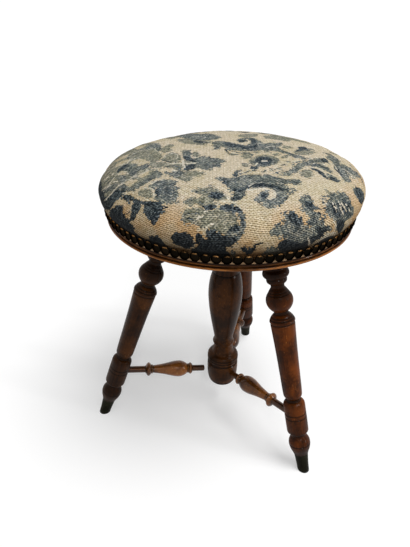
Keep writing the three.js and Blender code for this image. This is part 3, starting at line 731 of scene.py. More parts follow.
def rim_outline():
    inside = [(138.0, 407.0), (138.0, 396.4), (139.0, RIM_BOTTOM), (175.4, RIM_BOTTOM)]
    bead = [(176.0, 395.45), (178.6, 396.1), (179.8, 397.2), (180.0, 398.0), (179.8, 398.9), (178.4, 399.9),
            (176.6, 400.3)]
    cove = [(178.3, 402.0), (177.3, 403.6), (177.0, 406.2)]
    band = [(BAND_RADIUS, 406.8), (BAND_RADIUS, BOARD_TOP - 5)]
    over = [(BAND_RADIUS, BOARD_TOP - 5), (176.0, BOARD_TOP - 1.5), (172.5, BOARD_TOP)]
    rabbet = [(172.5, BOARD_TOP), (152.3, BOARD_TOP), (152.3, 407.0)]
    return softened(np.vstack([inside, flow(bead), flow(cove), band, flow(over), rabbet]))


def within(values, limits):
    return (values > limits[0]) & (values < limits[1])


def rim_marks(points, marks):
    """The bead's crest is bare in patches, partly wear and partly a painted highlight, and a thin painted
    highlight runs along the cove's edge. Wax fills the groove. The top of the cove is dark with wax and painted
    shade, and the underside of the bead with painted shade.
    """
    across, height = np.hypot(points[:, 0], points[:, 1]), points[:, 2]
    patches = np.clip([0.6 + 0.9 * noise.noise(Vector(point) / 55) for point in points], 0.2, 1)
    # The bead's crest is partly wear and partly a painted highlight; the cove's edge is a painted highlight.
    wear_and_highlight = np.interp(across, *BEAD_WEAR_AND_HIGHLIGHT) * within(height, BEAD_WEAR_AND_HIGHLIGHT_HEIGHTS)
    marks["relief"] = (wear_and_highlight + COVE_EDGE_HIGHLIGHT * within(height, COVE_EDGE_HIGHLIGHT_HEIGHTS)) * patches
    # Under the bead the darkening is painted shade; at the top of the cove it is wax and painted shade.
    under, over = np.interp(height, *SHADE_UNDER_BEAD), np.interp(height, *WAX_AND_SHADE_IN_COVE)
    marks["wax"] = np.where(height < BEAD_WEAR_AND_HIGHLIGHT_HEIGHTS[1], under, over)
    marks["wax"][within(height, GROOVE)] = 1.0
    return marks


points, faces, marks = lathe(rim_outline(), 240, closed=True)
ring_grain = np.column_stack([points[:, 2], np.hypot(points[:, 0], points[:, 1]),
                              175 * np.arctan2(points[:, 1], points[:, 0])])
rim = make_piece("seat_rim_turned", points, faces, rim_wood, ring_grain, rim_marks(points, marks))
stands_for(rim, "seat", "rim_wood", "seat_rim")

# %% [markdown]
# ## Top of the stand
# A round platform joins the legs. It can be seen when the seat is wound up: its moulded edge, the three leg
# tenons sawn off flush, and the flange of the iron nut. Its grain runs straight across, so its stock lies flat.

# %% The platform
MOULD, PLATFORM_RADIUS, PLATFORM_HOLE, LEDGE = 8.0, 124.0, 26.3, PLATFORM_HEIGHT + 12


def edge_run(*points):
    """A run of the platform's edge, from shares of the mould inwards and of the thickness upwards."""
    thickness = PLATFORM_TOP - PLATFORM_HEIGHT
    return flow([(PLATFORM_RADIUS - MOULD * drawn, PLATFORM_HEIGHT + thickness * up) for drawn, up in points])


def platform_outline():
    under = [(PLATFORM_HOLE, LEDGE), (PLATFORM_HOLE, PLATFORM_HEIGHT),
             (PLATFORM_RADIUS - MOULD, PLATFORM_HEIGHT)]
    edge = edge_run((1, 0), (0.8, 0.12), (0.35, 0.22), (0.06, 0.34), (0, 0.42))
    round_over = edge_run((0, 0.72), (0.1, 0.84), (0.45, 0.955), (1, 1))
    inside = [(SLEEVE_BORE, PLATFORM_TOP), (SLEEVE_BORE, LEDGE)]
    return softened(np.vstack([under, edge, round_over, inside]))


points, faces, marks = lathe(platform_outline(), 128, closed=True)
marks["wax"] = np.maximum(marks["wax"] * 0.6, 0.25)
platform = make_piece("platform_turned", points, faces, dark_walnut, points[:, [1, 2, 0]], marks)
stands_for(platform, "stand", "dark_walnut", "leg_platform")

# %% [markdown]
# ## Ironwork
# The nut and the seat's flange are iron castings, dull and freckled with rust. The spindle is bright steel with
# old grease in its thread. One group gives the freckles and the fine pitting to all of them.

# %% Metal finishes
GREASE, PIT_DEPTH = "120e0a", 0.0003


def make_tarnish_group():
    tree, given, result = group_tree("tarnish", {"Scale": 120.0}, ("Patch", "Pits"))
    patch = noise_at(tree, given["Place"], given["Scale"], 5.0, Roughness=0.65)
    feed(tree, result, {"Patch": between(tree, patch, 0.46, 0.64),
                        "Pits": noise_at(tree, given["Place"], times(tree, given["Scale"], 8.0), 2.0)})
    return tree


def metal(name, clean, dull, rough, pitted, metalness):
    material, tree, shader = finish_named(name)
    place = put(tree, "ShaderNodeTexCoord").outputs["Object"]
    patch, pits = put(tree, "ShaderNodeGroup", {"Place": place}, node_tree=tarnish_group).outputs
    grease = times(tree, attribute(tree, "wax"), 0.85)
    feed(tree, shader, {
        "Base Color": layered(tree, blend(tree, patch, clean, dull), (grease, GREASE)),
        "Metallic": metalness, "Roughness": scaled(tree, patch, 0.25, scaled(tree, pits, 0.2, rough)),
        "Normal": bumped(tree, pits, pitted, PIT_DEPTH)})
    return material


tarnish_group = make_tarnish_group()
cast_iron = metal("cast iron", "2f2c29", "4a3222", rough=0.5, pitted=0.5, metalness=0.5)
steel = metal("steel", "77736b", "4f4840", rough=0.28, pitted=0.15, metalness=1.0)
print([material.name for material in (cast_iron, steel)])

# %% [markdown]
# The spindle's thread winds up it like a slide. Each point of a fine turning is pushed out by how far round the
# slide it has got, so one rule makes the whole screw. It is the same rule and the same start as in the solid
# model, so the screw still runs clear of the nut.

# %% The spindle
PITCH, SCREW_RADIUS, SCREW_CORE = 6.0, 12.0, 10.0
SPIGOT_END, SPINDLE_END, THREAD_TOP, SPINDLE_TOP = 257.5, 272.1, 391.3, 406.7
THREAD_STEP, THREAD_FADE, TOP_RADIUS = 0.4, 2.0, 9.7
TOOTH = [0.0, 0.36, 0.5, 0.86, 1.0], [0, 0, 1, 1, 0]


def spindle_shape(sides=48):
    heights = np.arange(SPINDLE_END, THREAD_TOP, THREAD_STEP)
    line = np.vstack([[(5.4, SPIGOT_END), (6.0, SPIGOT_END + 0.6), (6.0, SPINDLE_END - 0.01)],
                      np.column_stack([np.full(len(heights), SCREW_RADIUS), heights]),
                      [(TOP_RADIUS, THREAD_TOP), (TOP_RADIUS, SPINDLE_TOP)]])
    points, faces, _ = lathe(line, sides)
    angle, across, z = np.arctan2(points[:, 1], points[:, 0]), np.hypot(*points[:, :2].T), points[:, 2]
    along = ((z - (SPINDLE_END - 2 * PITCH)) / PITCH - angle / (2 * math.pi)) % 1
    tooth = np.interp(along, *TOOTH)
    ease = np.clip(np.minimum(z - SPINDLE_END, THREAD_TOP - z) / THREAD_FADE, 0, 1)
    radius = SCREW_CORE + (SCREW_RADIUS - SCREW_CORE) * np.minimum(tooth, ease)
    threaded = (z > SPINDLE_END - 0.005) & (z < THREAD_TOP) & (across > SCREW_CORE + 1)
    points[:, :2] *= np.where(threaded, radius / SCREW_RADIUS, 1)[:, None]
    return points, faces, {"wax": np.where(threaded, 0.9 * (1 - tooth), 0.3)}


points, faces, marks = spindle_shape()
spindle = make_piece("spindle_threaded", points, faces, steel, marks=marks)
stands_for(spindle, "seat", "steel", "spindle")

# %% [markdown]
# The nut is a bush with a flange, let into the platform. The seat's flange is a plate with a hub, and a pin
# driven through the hub holds the spindle. Each casting is one closed outline turned on the lathe, and the
# pin's hole is drilled afterwards.

# %% The nut, the flange and its pin
NUT_BOTTOM, NUT_SEAT, NUT_TOP = 350.3, 386.3, 391.3
FLANGE_LOW, PLATE_LOW, PLATE_TOP = 391.6, 402.0, 407.0
PIN_HEIGHT, PIN_RADIUS, PIN_REACH, PIN_CHAMFER = 396.8, 2.5, 16.7, 0.4
NUT_LINE = [(12.5, NUT_BOTTOM), (18, NUT_BOTTOM), (18, NUT_SEAT), (30, NUT_SEAT), (30, NUT_TOP - 0.8),
            (29.2, NUT_TOP), (13.6, NUT_TOP), (12.5, NUT_TOP - 1.2)]
FLANGE_LINE = [(10, FLANGE_LOW), (16, FLANGE_LOW), (17, FLANGE_LOW + 1), (17, PLATE_LOW - 2.2),
               (17.7, PLATE_LOW - 0.7), (19.5, PLATE_LOW), (54, PLATE_LOW), (55, PLATE_LOW + 1),
               (55, PLATE_TOP), (10, PLATE_TOP)]


def ring_of(name, line):
    points, faces, _ = lathe(softened(np.array(line, float)), 96, closed=True)
    return make_piece(name, points, faces, cast_iron)


def cross_rod(name, radius, reach):
    """A rod along X with rounded ends, at the height of the pin."""
    half = [(radius - PIN_CHAMFER, reach), (radius, reach - PIN_CHAMFER)]
    points, faces, _ = lathe(np.array([(r, -z) for r, z in half] + half[::-1]), 24)
    return make_piece(name, points[:, [2, 0, 1]] + (0, 0, PIN_HEIGHT), faces, steel)


nut, flange = ring_of("nut_casting", NUT_LINE), ring_of("flange_casting", FLANGE_LINE)
cut_away(flange, cross_rod("pin_drill", PIN_RADIUS + 0.2, 30.0))
stands_for(nut, "stand", "iron", "spindle_nut")
stands_for(flange, "seat", "iron", "seat_flange")
stands_for(cross_rod("pin_driven", PIN_RADIUS, PIN_REACH), "seat", "steel", "flange_pin")

# %% [markdown]
# ## Screws
# Small parts on a ring, such as screws and upholstery nails, are one shape repeated, so Geometry Nodes place
# them. The tree puts a point on the ring for each head, turns the head the way it faces, and adds a little
# chance, so that no two slots line up.

# %% The ring tree
def ring_tree(name, head, material, lean, seed):
    """Geometry Nodes: copies of a head on a ring about Z. A lean of (0, 0) leaves the head pointing up."""
    tree = bpy.data.node_groups.new(name, "GeometryNodeTree")
    for socket, kind, value in (("Count", "NodeSocketInt", 12), ("Ring radius", FLOAT, 0.1),
                                ("Tilt", FLOAT, 0.0), ("Twist", FLOAT, 0.0)):
        tree.interface.new_socket(socket, in_out="INPUT", socket_type=kind).default_value = value
    tree.interface.new_socket("Geometry", in_out="OUTPUT", socket_type="NodeSocketGeometry")
    given, result = tree.nodes.new("NodeGroupInput").outputs, tree.nodes.new("NodeGroupOutput")
    ring = put(tree, "GeometryNodeMeshCircle", {"Vertices": given["Count"], "Radius": given["Ring radius"]})
    share = maths(tree, "DIVIDE", put(tree, "GeometryNodeInputIndex").outputs[0], given["Count"])
    facing = three(tree, *lean, times(tree, share, 2 * math.pi))
    wobble = put(tree, "FunctionNodeRandomValue", {"Min": (-1, -1, -1), "Max": (1, 1, 1), "Seed": seed},
                 data_type="FLOAT_VECTOR").outputs[0]
    wobble = stretched(tree, wobble, three(tree, given["Tilt"], given["Tilt"], given["Twist"]))
    turn = put(tree, "ShaderNodeVectorMath", {0: facing, 1: wobble}, operation="ADD").outputs[0]
    shape = put(tree, "GeometryNodeObjectInfo", {"Object": head}).outputs["Geometry"]
    copies = put(tree, "GeometryNodeInstanceOnPoints",
                 {"Points": ring.outputs[0], "Instance": shape, "Rotation": turn}).outputs[0]
    own = put(tree, "FunctionNodeRandomValue", {"Seed": seed + 1}, data_type="FLOAT").outputs[1]
    stored = put(tree, "GeometryNodeStoreNamedAttribute", {"Geometry": copies, "Name": "patina"},
                 data_type="FLOAT", domain="INSTANCE")
    feed(tree, stored, {"Value": own})
    real = put(tree, "GeometryNodeRealizeInstances", {"Geometry": stored.outputs[0]}).outputs[0]
    painted = put(tree, "GeometryNodeSetMaterial", {"Geometry": real, "Material": material}).outputs[0]
    tree.links.new(painted, result.inputs[0])
    return tree


def grown(name, tree, height, **sizes):
    """Runs a tree on an empty mesh and keeps the result as a plain mesh about the column's axis."""
    base = in_scene(name + "_base", bpy.data.meshes.new(name + "_base"))
    modifier = base.modifiers.new("grow", "NODES")
    modifier.node_group = tree
    sockets = {s.name: s.identifier for s in tree.interface.items_tree if s.in_out == "INPUT"}
    for size, value in sizes.items():
        modifier[sockets[size.replace("_", " ")]] = value
    base.update_tag()
    graph = bpy.context.evaluated_depsgraph_get()
    mesh = bpy.data.meshes.new_from_object(base.evaluated_get(graph), depsgraph=graph)
    mesh.name = name
    mesh.transform(Matrix.Translation(AXIS + Vector((0, 0, height * MM))))
    bpy.data.objects.remove(base)
    return in_scene(name, mesh)


# %% Slotted screws
BOX_FACES = [(0, 1, 3, 2), (4, 6, 7, 5), (0, 4, 5, 1), (2, 3, 7, 6), (0, 2, 6, 4), (1, 5, 7, 3)]
SLOT_HALF_WIDTH, SLOT_FLOOR, SAW_TOP = 0.45, 1.5, 5.0
SCREW_HEAD = [(0.97, 0.3), (1, 0.6), (0.9, 1.5), (0.6, 2.4), (0.25, 2.7)]
SCREW_RINGS = [
    # name, body, replaced nodes, count, ring radius, height, lean, shank, head, length
    ("nut_screws", "stand", "nut_screw", 3, 24.0, NUT_TOP, 0.0, 2.0, 3.9, 14.0),
    ("flange_screws", "seat", "flange_screw", 4, 44.0, PLATE_LOW, math.pi, 2.4, 4.5, 17.0),
]


def at_middle(name, points, faces):
    """A mesh object about the middle of the world, to be copied by a tree."""
    return in_scene(name, smooth_mesh(name, np.asarray(points, float) * MM, faces))


def slotted_screw(shank, head, length):
    """A round-headed wood screw that holds a face at z = 0, its head above it."""
    body = [(0.2, -length), (shank, -0.7 * length), (shank, 0.3)]
    points, faces, _ = lathe(np.array(body + [(head * wide, z) for wide, z in SCREW_HEAD]), 28)
    screw = at_middle("screw", points, faces)
    saw = [(x, y, z) for x in (-head - 1, head + 1) for y in (-SLOT_HALF_WIDTH, SLOT_HALF_WIDTH)
           for z in (SLOT_FLOOR, SAW_TOP)]
    cut_away(screw, at_middle("saw", saw, BOX_FACES))
    heights = np.array([corner.co[2] for corner in screw.data.vertices]) / MM
    add_values(screw.data, "wax", np.clip((SLOT_FLOOR + 0.4 - heights) / 0.4, 0, 0.8))
    return screw


for name, body, node, count, ring, level, lean, shank, head, length in SCREW_RINGS:
    shape = slotted_screw(shank, head, length)
    screws = grown(name, ring_tree(name, shape, steel, (lean, 0.0), 3), level,
                   Count=count, Ring_radius=ring * MM, Twist=3.0)
    bpy.data.objects.remove(shape)
    stands_for(screws, body, "steel", *(f"{node}_{i + 1}" for i in range(count)))

# %% [markdown]
# The seat's board is a plain sawn round, seen only from below. The stop is a washer and an end nut low on the
# spindle. The frame's own solids are good enough for those two, so they only get the finish of steel.

# %% The board and the stop
BOARD_BOTTOM, BOARD_RADIUS = 407.3, 152.0
BOARD_LINE = [(BOARD_RADIUS - 1, BOARD_BOTTOM), (BOARD_RADIUS, BOARD_BOTTOM + 1), (BOARD_RADIUS, BOARD_TOP)]
points, faces, marks = lathe(softened(np.array(BOARD_LINE)), 160)
marks["wax"] *= 0
board = make_piece("board_sawn", points, faces, plain_wood, points[:, [1, 2, 0]], marks)
stands_for(board, "seat", "plain_wood", "seat_board")
for node in ("stop_washer", "spindle_end_nut"):
    bpy.data.objects[node].material_slots[0].material = steel

# %% [markdown]
# ## Cushion
# The stuffed seat swells out over the nails, is widest low down and has a soft crown that has settled a little
# to one side.

# %% The cushion's form
SKIRT_RADIUS, CUSHION_RADIUS, BAND_BOTTOM, SWELL_BOTTOM = 179.6, 188.0, 406.8, 419.9
WIDEST, CROWN, FULLNESS = 440.0, 47.5, 2.4
SWELL_SHARES = (0, 0), (0.46, 0.17), (0.84, 0.55), (1, 1)
SETTLED = (0.22, 0.15)
NAIL_COUNT = 89
COVER_RINGS, COVER_SIDES = 231, 8 * NAIL_COUNT
TURNED_UNDER = [(60.0, 425.7), (140.0, 425.7), (172.4, 425.7), (176.4, 424.2), (177.9, 421.0), (177.9, 408.4),
                (178.2, 407.1), (178.8, 406.6)]


def cushion_line(count=150):
    """From the nails out over the widest ring and up to the middle of the crown."""
    swell = [(SKIRT_RADIUS + (CUSHION_RADIUS - SKIRT_RADIUS) * out, SWELL_BOTTOM + (WIDEST - SWELL_BOTTOM) * up)
             for out, up in SWELL_SHARES]
    angle = np.linspace(0, math.pi / 2, count)
    crown = np.column_stack([CUSHION_RADIUS * np.cos(angle) ** (2 / FULLNESS),
                             WIDEST + CROWN * np.sin(angle) ** (2 / FULLNESS)])
    crown[-1, 0] = 0.0
    skirt = [(SKIRT_RADIUS, BAND_BOTTOM), (SKIRT_RADIUS, SWELL_BOTTOM)]
    return np.vstack([flow(skirt + swell[1:3] + [tuple(crown[0])]), crown[1:]])


def even_line(line, count):
    """The line in equal steps, and how far each of its points is from the end."""
    along = length_along(line)
    spread = np.linspace(0, along[-1], count)
    return np.column_stack([np.interp(spread, along, line[:, i]) for i in (0, 1)]), along[-1] - spread


def cover_points():
    """Points, faces, and the place of each point on the flat cloth in millimetres from its middle."""
    line, from_middle = even_line(cushion_line(), COVER_RINGS)
    under = np.array(TURNED_UNDER)
    back = from_middle[0] + np.linalg.norm(under - line[0], axis=1)
    points, faces, _ = lathe(np.vstack([under, line[:-1]]), COVER_SIDES)
    angle = np.arctan2(points[:, 1], points[:, 0])
    reach = np.append(np.repeat(np.append(back, from_middle[:-1]), COVER_SIDES), [0.0, 0.0])
    flat = np.column_stack([reach * np.cos(angle), reach * np.sin(angle)])
    points[-1] = (0, 0, line[-1, 1])
    points[:, :2] += np.outer(np.maximum(points[:, 2] - WIDEST, 0), SETTLED)
    return points, faces, flat, reach


cover_place, cover_faces, cloth_place, cloth_reach = cover_points()
print(len(cover_place), "points on the cover")

# %% [markdown]
# ## Stuffing under tension
# The cloth is pulled over horsehair and nailed, so it bulges between the nails and is a little lumpy above
# them. A cloth simulation finds that better than a hand could. A coarse copy of the cover is held at its hem
# and at each nail, shrinks a little, and is pressed from inside by stuffing of uneven firmness for 20 frames.
# The seat's shape as a whole was measured in the photo, so only what differs round each ring is kept, and no
# point may move far. The fine cover then takes on that unevenness.

# %% The cloth simulation
RING_STEP, SIDE_STEP, HEM_HELD, NAILS_HELD = 5, 2, 408.5, 416.5
FRAMES, FIRM_PATCH, LARGEST_MOVE, STILL_RINGS = 20, 45.0, 2.5, 6
CLOTH = {"quality": 5, "mass": 0.02, "tension_stiffness": 12, "compression_stiffness": 12,
         "bending_stiffness": 0.3, "shrink_min": 0.01, "use_pressure": True, "uniform_pressure_force": 4.0,
         "vertex_group_mass": "held", "vertex_group_pressure": "firm"}


def held_points(places, rings, sides):
    """The hem, the middle of the underside and a point behind each nail."""
    side = np.append(np.tile(np.arange(sides), rings), (0, 1))
    at_nail = side % (COVER_SIDES // SIDE_STEP // NAIL_COUNT) == 0
    held = (places[:, 2] < HEM_HELD) | ((places[:, 2] < NAILS_HELD) & at_nail)
    held[-2] = True
    return np.flatnonzero(held).tolist()


def swollen(grid, top):
    """How far each point of a coarse cover, as rings of points in millimetres, moves in the simulation."""
    rings, sides = grid.shape[:2]
    _, faces, _ = lathe(np.column_stack([np.ones(rings), np.arange(rings) * 1.0]), sides)
    start = np.vstack([grid.reshape(-1, 3), [(0, 0, TURNED_UNDER[0][1]), top]])
    trial = make_piece("cover_trial", start, faces, plain_wood)
    trial.vertex_groups.new(name="held").add(held_points(start, rings, sides), 1.0, "REPLACE")
    firm = trial.vertex_groups.new(name="firm")
    for i, place in enumerate(start):
        firm.add([i], 0.6 + 0.4 * noise.noise(Vector(place) / FIRM_PATCH), "REPLACE")
    cloth = trial.modifiers.new("stretch", "CLOTH")
    for name, value in CLOTH.items():
        setattr(cloth.settings, name, value)
    cloth.settings.effector_weights.gravity = 0
    cloth.collision_settings.use_collision = cloth.collision_settings.use_self_collision = False
    for frame in range(1, FRAMES + 1):
        bpy.context.scene.frame_set(frame)
    graph = bpy.context.evaluated_depsgraph_get()
    ended = point_places(trial.evaluated_get(graph).to_mesh())
    bpy.data.objects.remove(trial)
    bpy.context.scene.frame_set(1)
    return (ended - start)[:-2].reshape(grid.shape)


# %% What is kept of the simulation
def less_whole(moves):
    """The moves without what every point of a ring shares, outwards, round and upwards."""
    angle = np.linspace(0, 2 * math.pi, moves.shape[1], endpoint=False)
    across, along = np.cos(angle), np.sin(angle)
    outwards = moves[..., 0] * across + moves[..., 1] * along
    round_it = moves[..., 1] * across - moves[..., 0] * along
    outwards, round_it, upwards = (v - v.mean(1, keepdims=True) for v in (outwards, round_it, moves[..., 2]))
    return np.stack([outwards * across - round_it * along, outwards * along + round_it * across, upwards], -1)


def spread_out(moves, rings):
    """The moves of the coarse grid at every point of the fine one, smoothed between."""
    rows = np.minimum(np.arange(rings) / RING_STEP, len(moves) - 1)
    low = np.minimum(rows.astype(int), len(moves) - 2)
    share = (rows - low)[:, None, None]
    fine = moves[low] * (1 - share) + moves[low + 1] * share
    wide = np.repeat(fine, SIDE_STEP, axis=1)
    wide[:, 1::2] = (fine + np.roll(fine, -1, axis=1)) / 2
    for _ in range(3):
        padded = np.pad(wide, ((1, 1), (0, 0), (0, 0)), mode="edge")
        wide = 0.25 * padded[:-2] + 0.5 * wide + 0.25 * padded[2:]
        wide = 0.25 * np.roll(wide, 1, axis=1) + 0.5 * wide + 0.25 * np.roll(wide, -1, axis=1)
    return wide


under_count = len(TURNED_UNDER) * COVER_SIDES
upper = cover_place[under_count:-2].reshape(-1, COVER_SIDES, 3)
moves = less_whole(swollen(upper[::RING_STEP, ::SIDE_STEP], cover_place[-1]))
size = np.linalg.norm(moves, axis=2, keepdims=True)
moves *= np.minimum(1, LARGEST_MOVE / np.maximum(size, 1e-6))
moves *= np.clip(np.arange(len(moves))[::-1] / STILL_RINGS, 0, 1)[:, None, None]
cover_place[under_count:-2] += spread_out(moves, len(upper)).reshape(-1, 3)
print("unevenness kept, mm:", np.linalg.norm(moves, axis=2).mean().round(2), size.max().round(2))

# %% [markdown]
# ## Tapestry pattern
# The cover is a woven tapestry of leaf scrolls, a traditional pattern. Here the pattern is drawn as a weaver's
# cartoon on the flat cloth, one leaf or line at a time. S is a slate leaf, M a grey leaf, G bare ground inside
# a leaf, D a deep blue part, L a dark line and P a pale line, the last two with a width. The numbers are places
# in millimetres from the middle of the seat, with the front of the stool at the bottom.

# %% The cartoon, on the left
MOTIFS = {
    "palmette": """
M -105,-37 -100,-20 -93,-11 -84,-18 -78,-34 -81,-48 -90,-51 -98,-47
M -80,-12 -77,-4 -70,-6 -65,-15 -67,-28 -73,-31 -77,-26
D -76,-34 -73,-29 -67,-36 -60,-48 -58,-55 -69,-50 -75,-42
M -65,-20 -60,-16 -54,-25 -56,-37 -62,-36
S -61,-44 -55,-37 -47,-32 -42,-36 -40,-42 -32,-41 -24,-47 -19,-56 -25,-61 -25,-71 -30,-77 -37,-74 -44,-82
  -51,-79 -58,-72 -62,-62
D -73,-73 -68,-64 -58,-59 -59,-72 -65,-80 -70,-79
S -97,-81 -92,-88 -84,-97 -76,-94 -71,-90 -74,-81 -80,-77 -87,-81 -95,-79
M -75,-87 -67,-84 -57,-84 -48,-88 -47,-95 -54,-97 -60,-98 -61,-107 -67,-111 -73,-106 -75,-100 -71,-95
L1.7 -105,-37 -98,-45 -90,-51 -79,-50
L2 -104,-71 -99,-66 -94,-64 -85,-64 -77,-73
P1.3 -101,-32 -98,-21 -91,-16 -84,-24 -84,-38 -91,-40
P2.9 -95,-55 -84,-56 -74,-58 -66,-58 -58,-58
P2.6 -76,-47 -75,-56 -72,-70
P2.9 -86,-77 -81,-80
P1.6 -58,-76 -51,-78
M -106,-44 -93,-50 -79,-53 -74,-46 -67,-41 -59,-41 -53,-49 -58,-59 -66,-67 -75,-74 -70,-82 -77,-82 -88,-72
  -99,-63
S -76,-9 -71,-5 -66,-15 -66,-40 -69,-47 -75,-38
L1.6 -47,-32 -42,-38 -38,-46
L1.7 -38,-54 -28,-52 -19,-56
L1.3 -36,-69 -28,-71 -23,-68
M -58,-60 -48,-63 -40,-73 -37,-83 -46,-81 -55,-77
M -82,-82 -72,-82 -60,-83 -50,-89 -51,-96 -60,-100 -67,-101 -73,-105 -81,-96
P2.6 -84,-56 -74,-57 -65,-58 -59,-60
P1.8 -77,-47 -74,-56 -75,-66
P1.3 -63,-40 -56,-37
P1.3 -60,-78 -51,-80
D -70,-71 -63,-66 -58,-69 -60,-78 -67,-81 -73,-77
""",
    "left leaf": """
S -133,26 -129,49 -121,52 -112,35 -109,17 -112,0 -117,10 -122,21 -128,20
M -110,2 -109,17 -104,28 -97,34 -92,26 -96,11 -92,0 -99,-7 -105,-7
M -147,-7 -142,4 -132,7 -121,1 -112,-11 -104,-22 -107,-31 -115,-34 -126,-25 -136,-17
P1.6 -153,2 -143,19 -132,22 -120,19 -115,4 -105,-9 -96,-10
L1.8 -154,-5 -146,13 -138,19 -132,20
M -124,-37 -118,-35 -106,-46 -97,-57 -104,-66 -113,-62 -120,-53
""",
    "left edge": """
D -164,-44 -159,-32 -151,-26 -148,-32 -152,-41 -158,-48
S -159,-39 -151,-35 -143,-33 -137,-39 -137,-51 -131,-48 -123,-45 -119,-54 -125,-61 -131,-63 -133,-67
  -140,-73 -145,-66 -148,-54 -155,-47
L1.6 -137,-52 -131,-48 -123,-46 -119,-54 -126,-62
S -160,-66 -157,-61 -151,-64 -146,-76 -148,-82 -152,-85 -155,-75
S -154,-87 -149,-87 -143,-91 -141,-101 -150,-99
S -146,-104 -135,-100 -126,-95 -117,-87 -108,-74 -100,-78 -98,-87 -105,-94 -114,-99 -123,-105 -133,-109
  -142,-108
L1.6 -187,-63 -178,-65 -169,-60 -163,-59
S -187,-63 -174,-71 -166,-72 -159,-78 -157,-87 -164,-87 -175,-81 -182,-83 -187,-73
D -197,-85 -175,-97 -163,-99 -154,-99 -147,-100 -141,-103 -143,-109 -152,-110 -159,-113 -171,-111 -201,-89
P1.4 -180,-91 -168,-94 -160,-92 -154,-88 -145,-87
P1.4 -181,-74 -172,-73 -165,-69 -158,-72
P1.6 -184,-54 -177,-49 -170,-46 -164,-44
P1.6 -183,-27 -174,-25 -164,-23 -153,-27 -149,-14 -139,-13
P1.3 -160,-55 -155,-54 -148,-56 -145,-66
P1.6 -146,-81 -139,-80 -134,-74 -127,-69 -119,-65
""",
    "heart": """
S -116,-110 -110,-105 -103,-99 -93,-99 -83,-104 -77,-109 -80,-116 -74,-124 -79,-127 -74,-133 -74,-142
  -77,-146 -83,-149 -92,-148 -98,-144 -102,-136 -104,-125 -102,-120 -108,-115
M -125,-117 -121,-113 -113,-115 -107,-120 -105,-132 -110,-134 -118,-128 -123,-122
P1.6 -118,-110 -110,-105 -103,-99 -95,-97
P1.7 -126,-114 -121,-111 -114,-112 -107,-118 -104,-129 -104,-136 -109,-137 -117,-131
L1.3 -100,-122 -93,-122 -83,-125 -77,-126
L1.3 -109,-114 -104,-118 -101,-126
D -103,-117 -98,-121 -97,-133 -100,-133 -103,-125
""",
    "fingers": """
D -148,-114 -144,-110 -136,-114 -127,-125 -120,-133 -109,-138 -101,-141 -94,-145 -91,-152 -86,-155 -91,-156
  -89,-160 -94,-161 -95,-165 -97,-169 -104,-170 -106,-165 -112,-157 -116,-150 -115,-142 -119,-138 -124,-143
  -125,-148 -130,-152 -136,-151 -132,-145 -129,-138 -132,-133 -129,-131 -139,-123
P1.1 -147,-106 -139,-108 -131,-113
""",
    "low left": """
D -158,-121 -152,-122 -144,-128 -145,-134 -144,-140 -139,-148 -136,-155 -134,-163 -141,-164 -138,-175
  -136,-184 -114,-185 -106,-184 -100,-188 -99,-197 -98,-208 -89,-213 -98,-216 -119,-208 -139,-193 -159,-174
  -175,-153 -173,-138 -165,-129
D -81,-190 -76,-187 -70,-188 -66,-188 -60,-191 -57,-194 -54,-198 -55,-203 -60,-207 -68,-212 -73,-208
  -79,-203 -83,-196
D -51,-196 -48,-193 -45,-196 -41,-195 -42,-198 -39,-199 -36,-202 -44,-205 -50,-207 -51,-201
P1.2 -101,-207 -88,-207 -76,-206 -71,-210
""",
}
print(len(MOTIFS), "motifs so far")

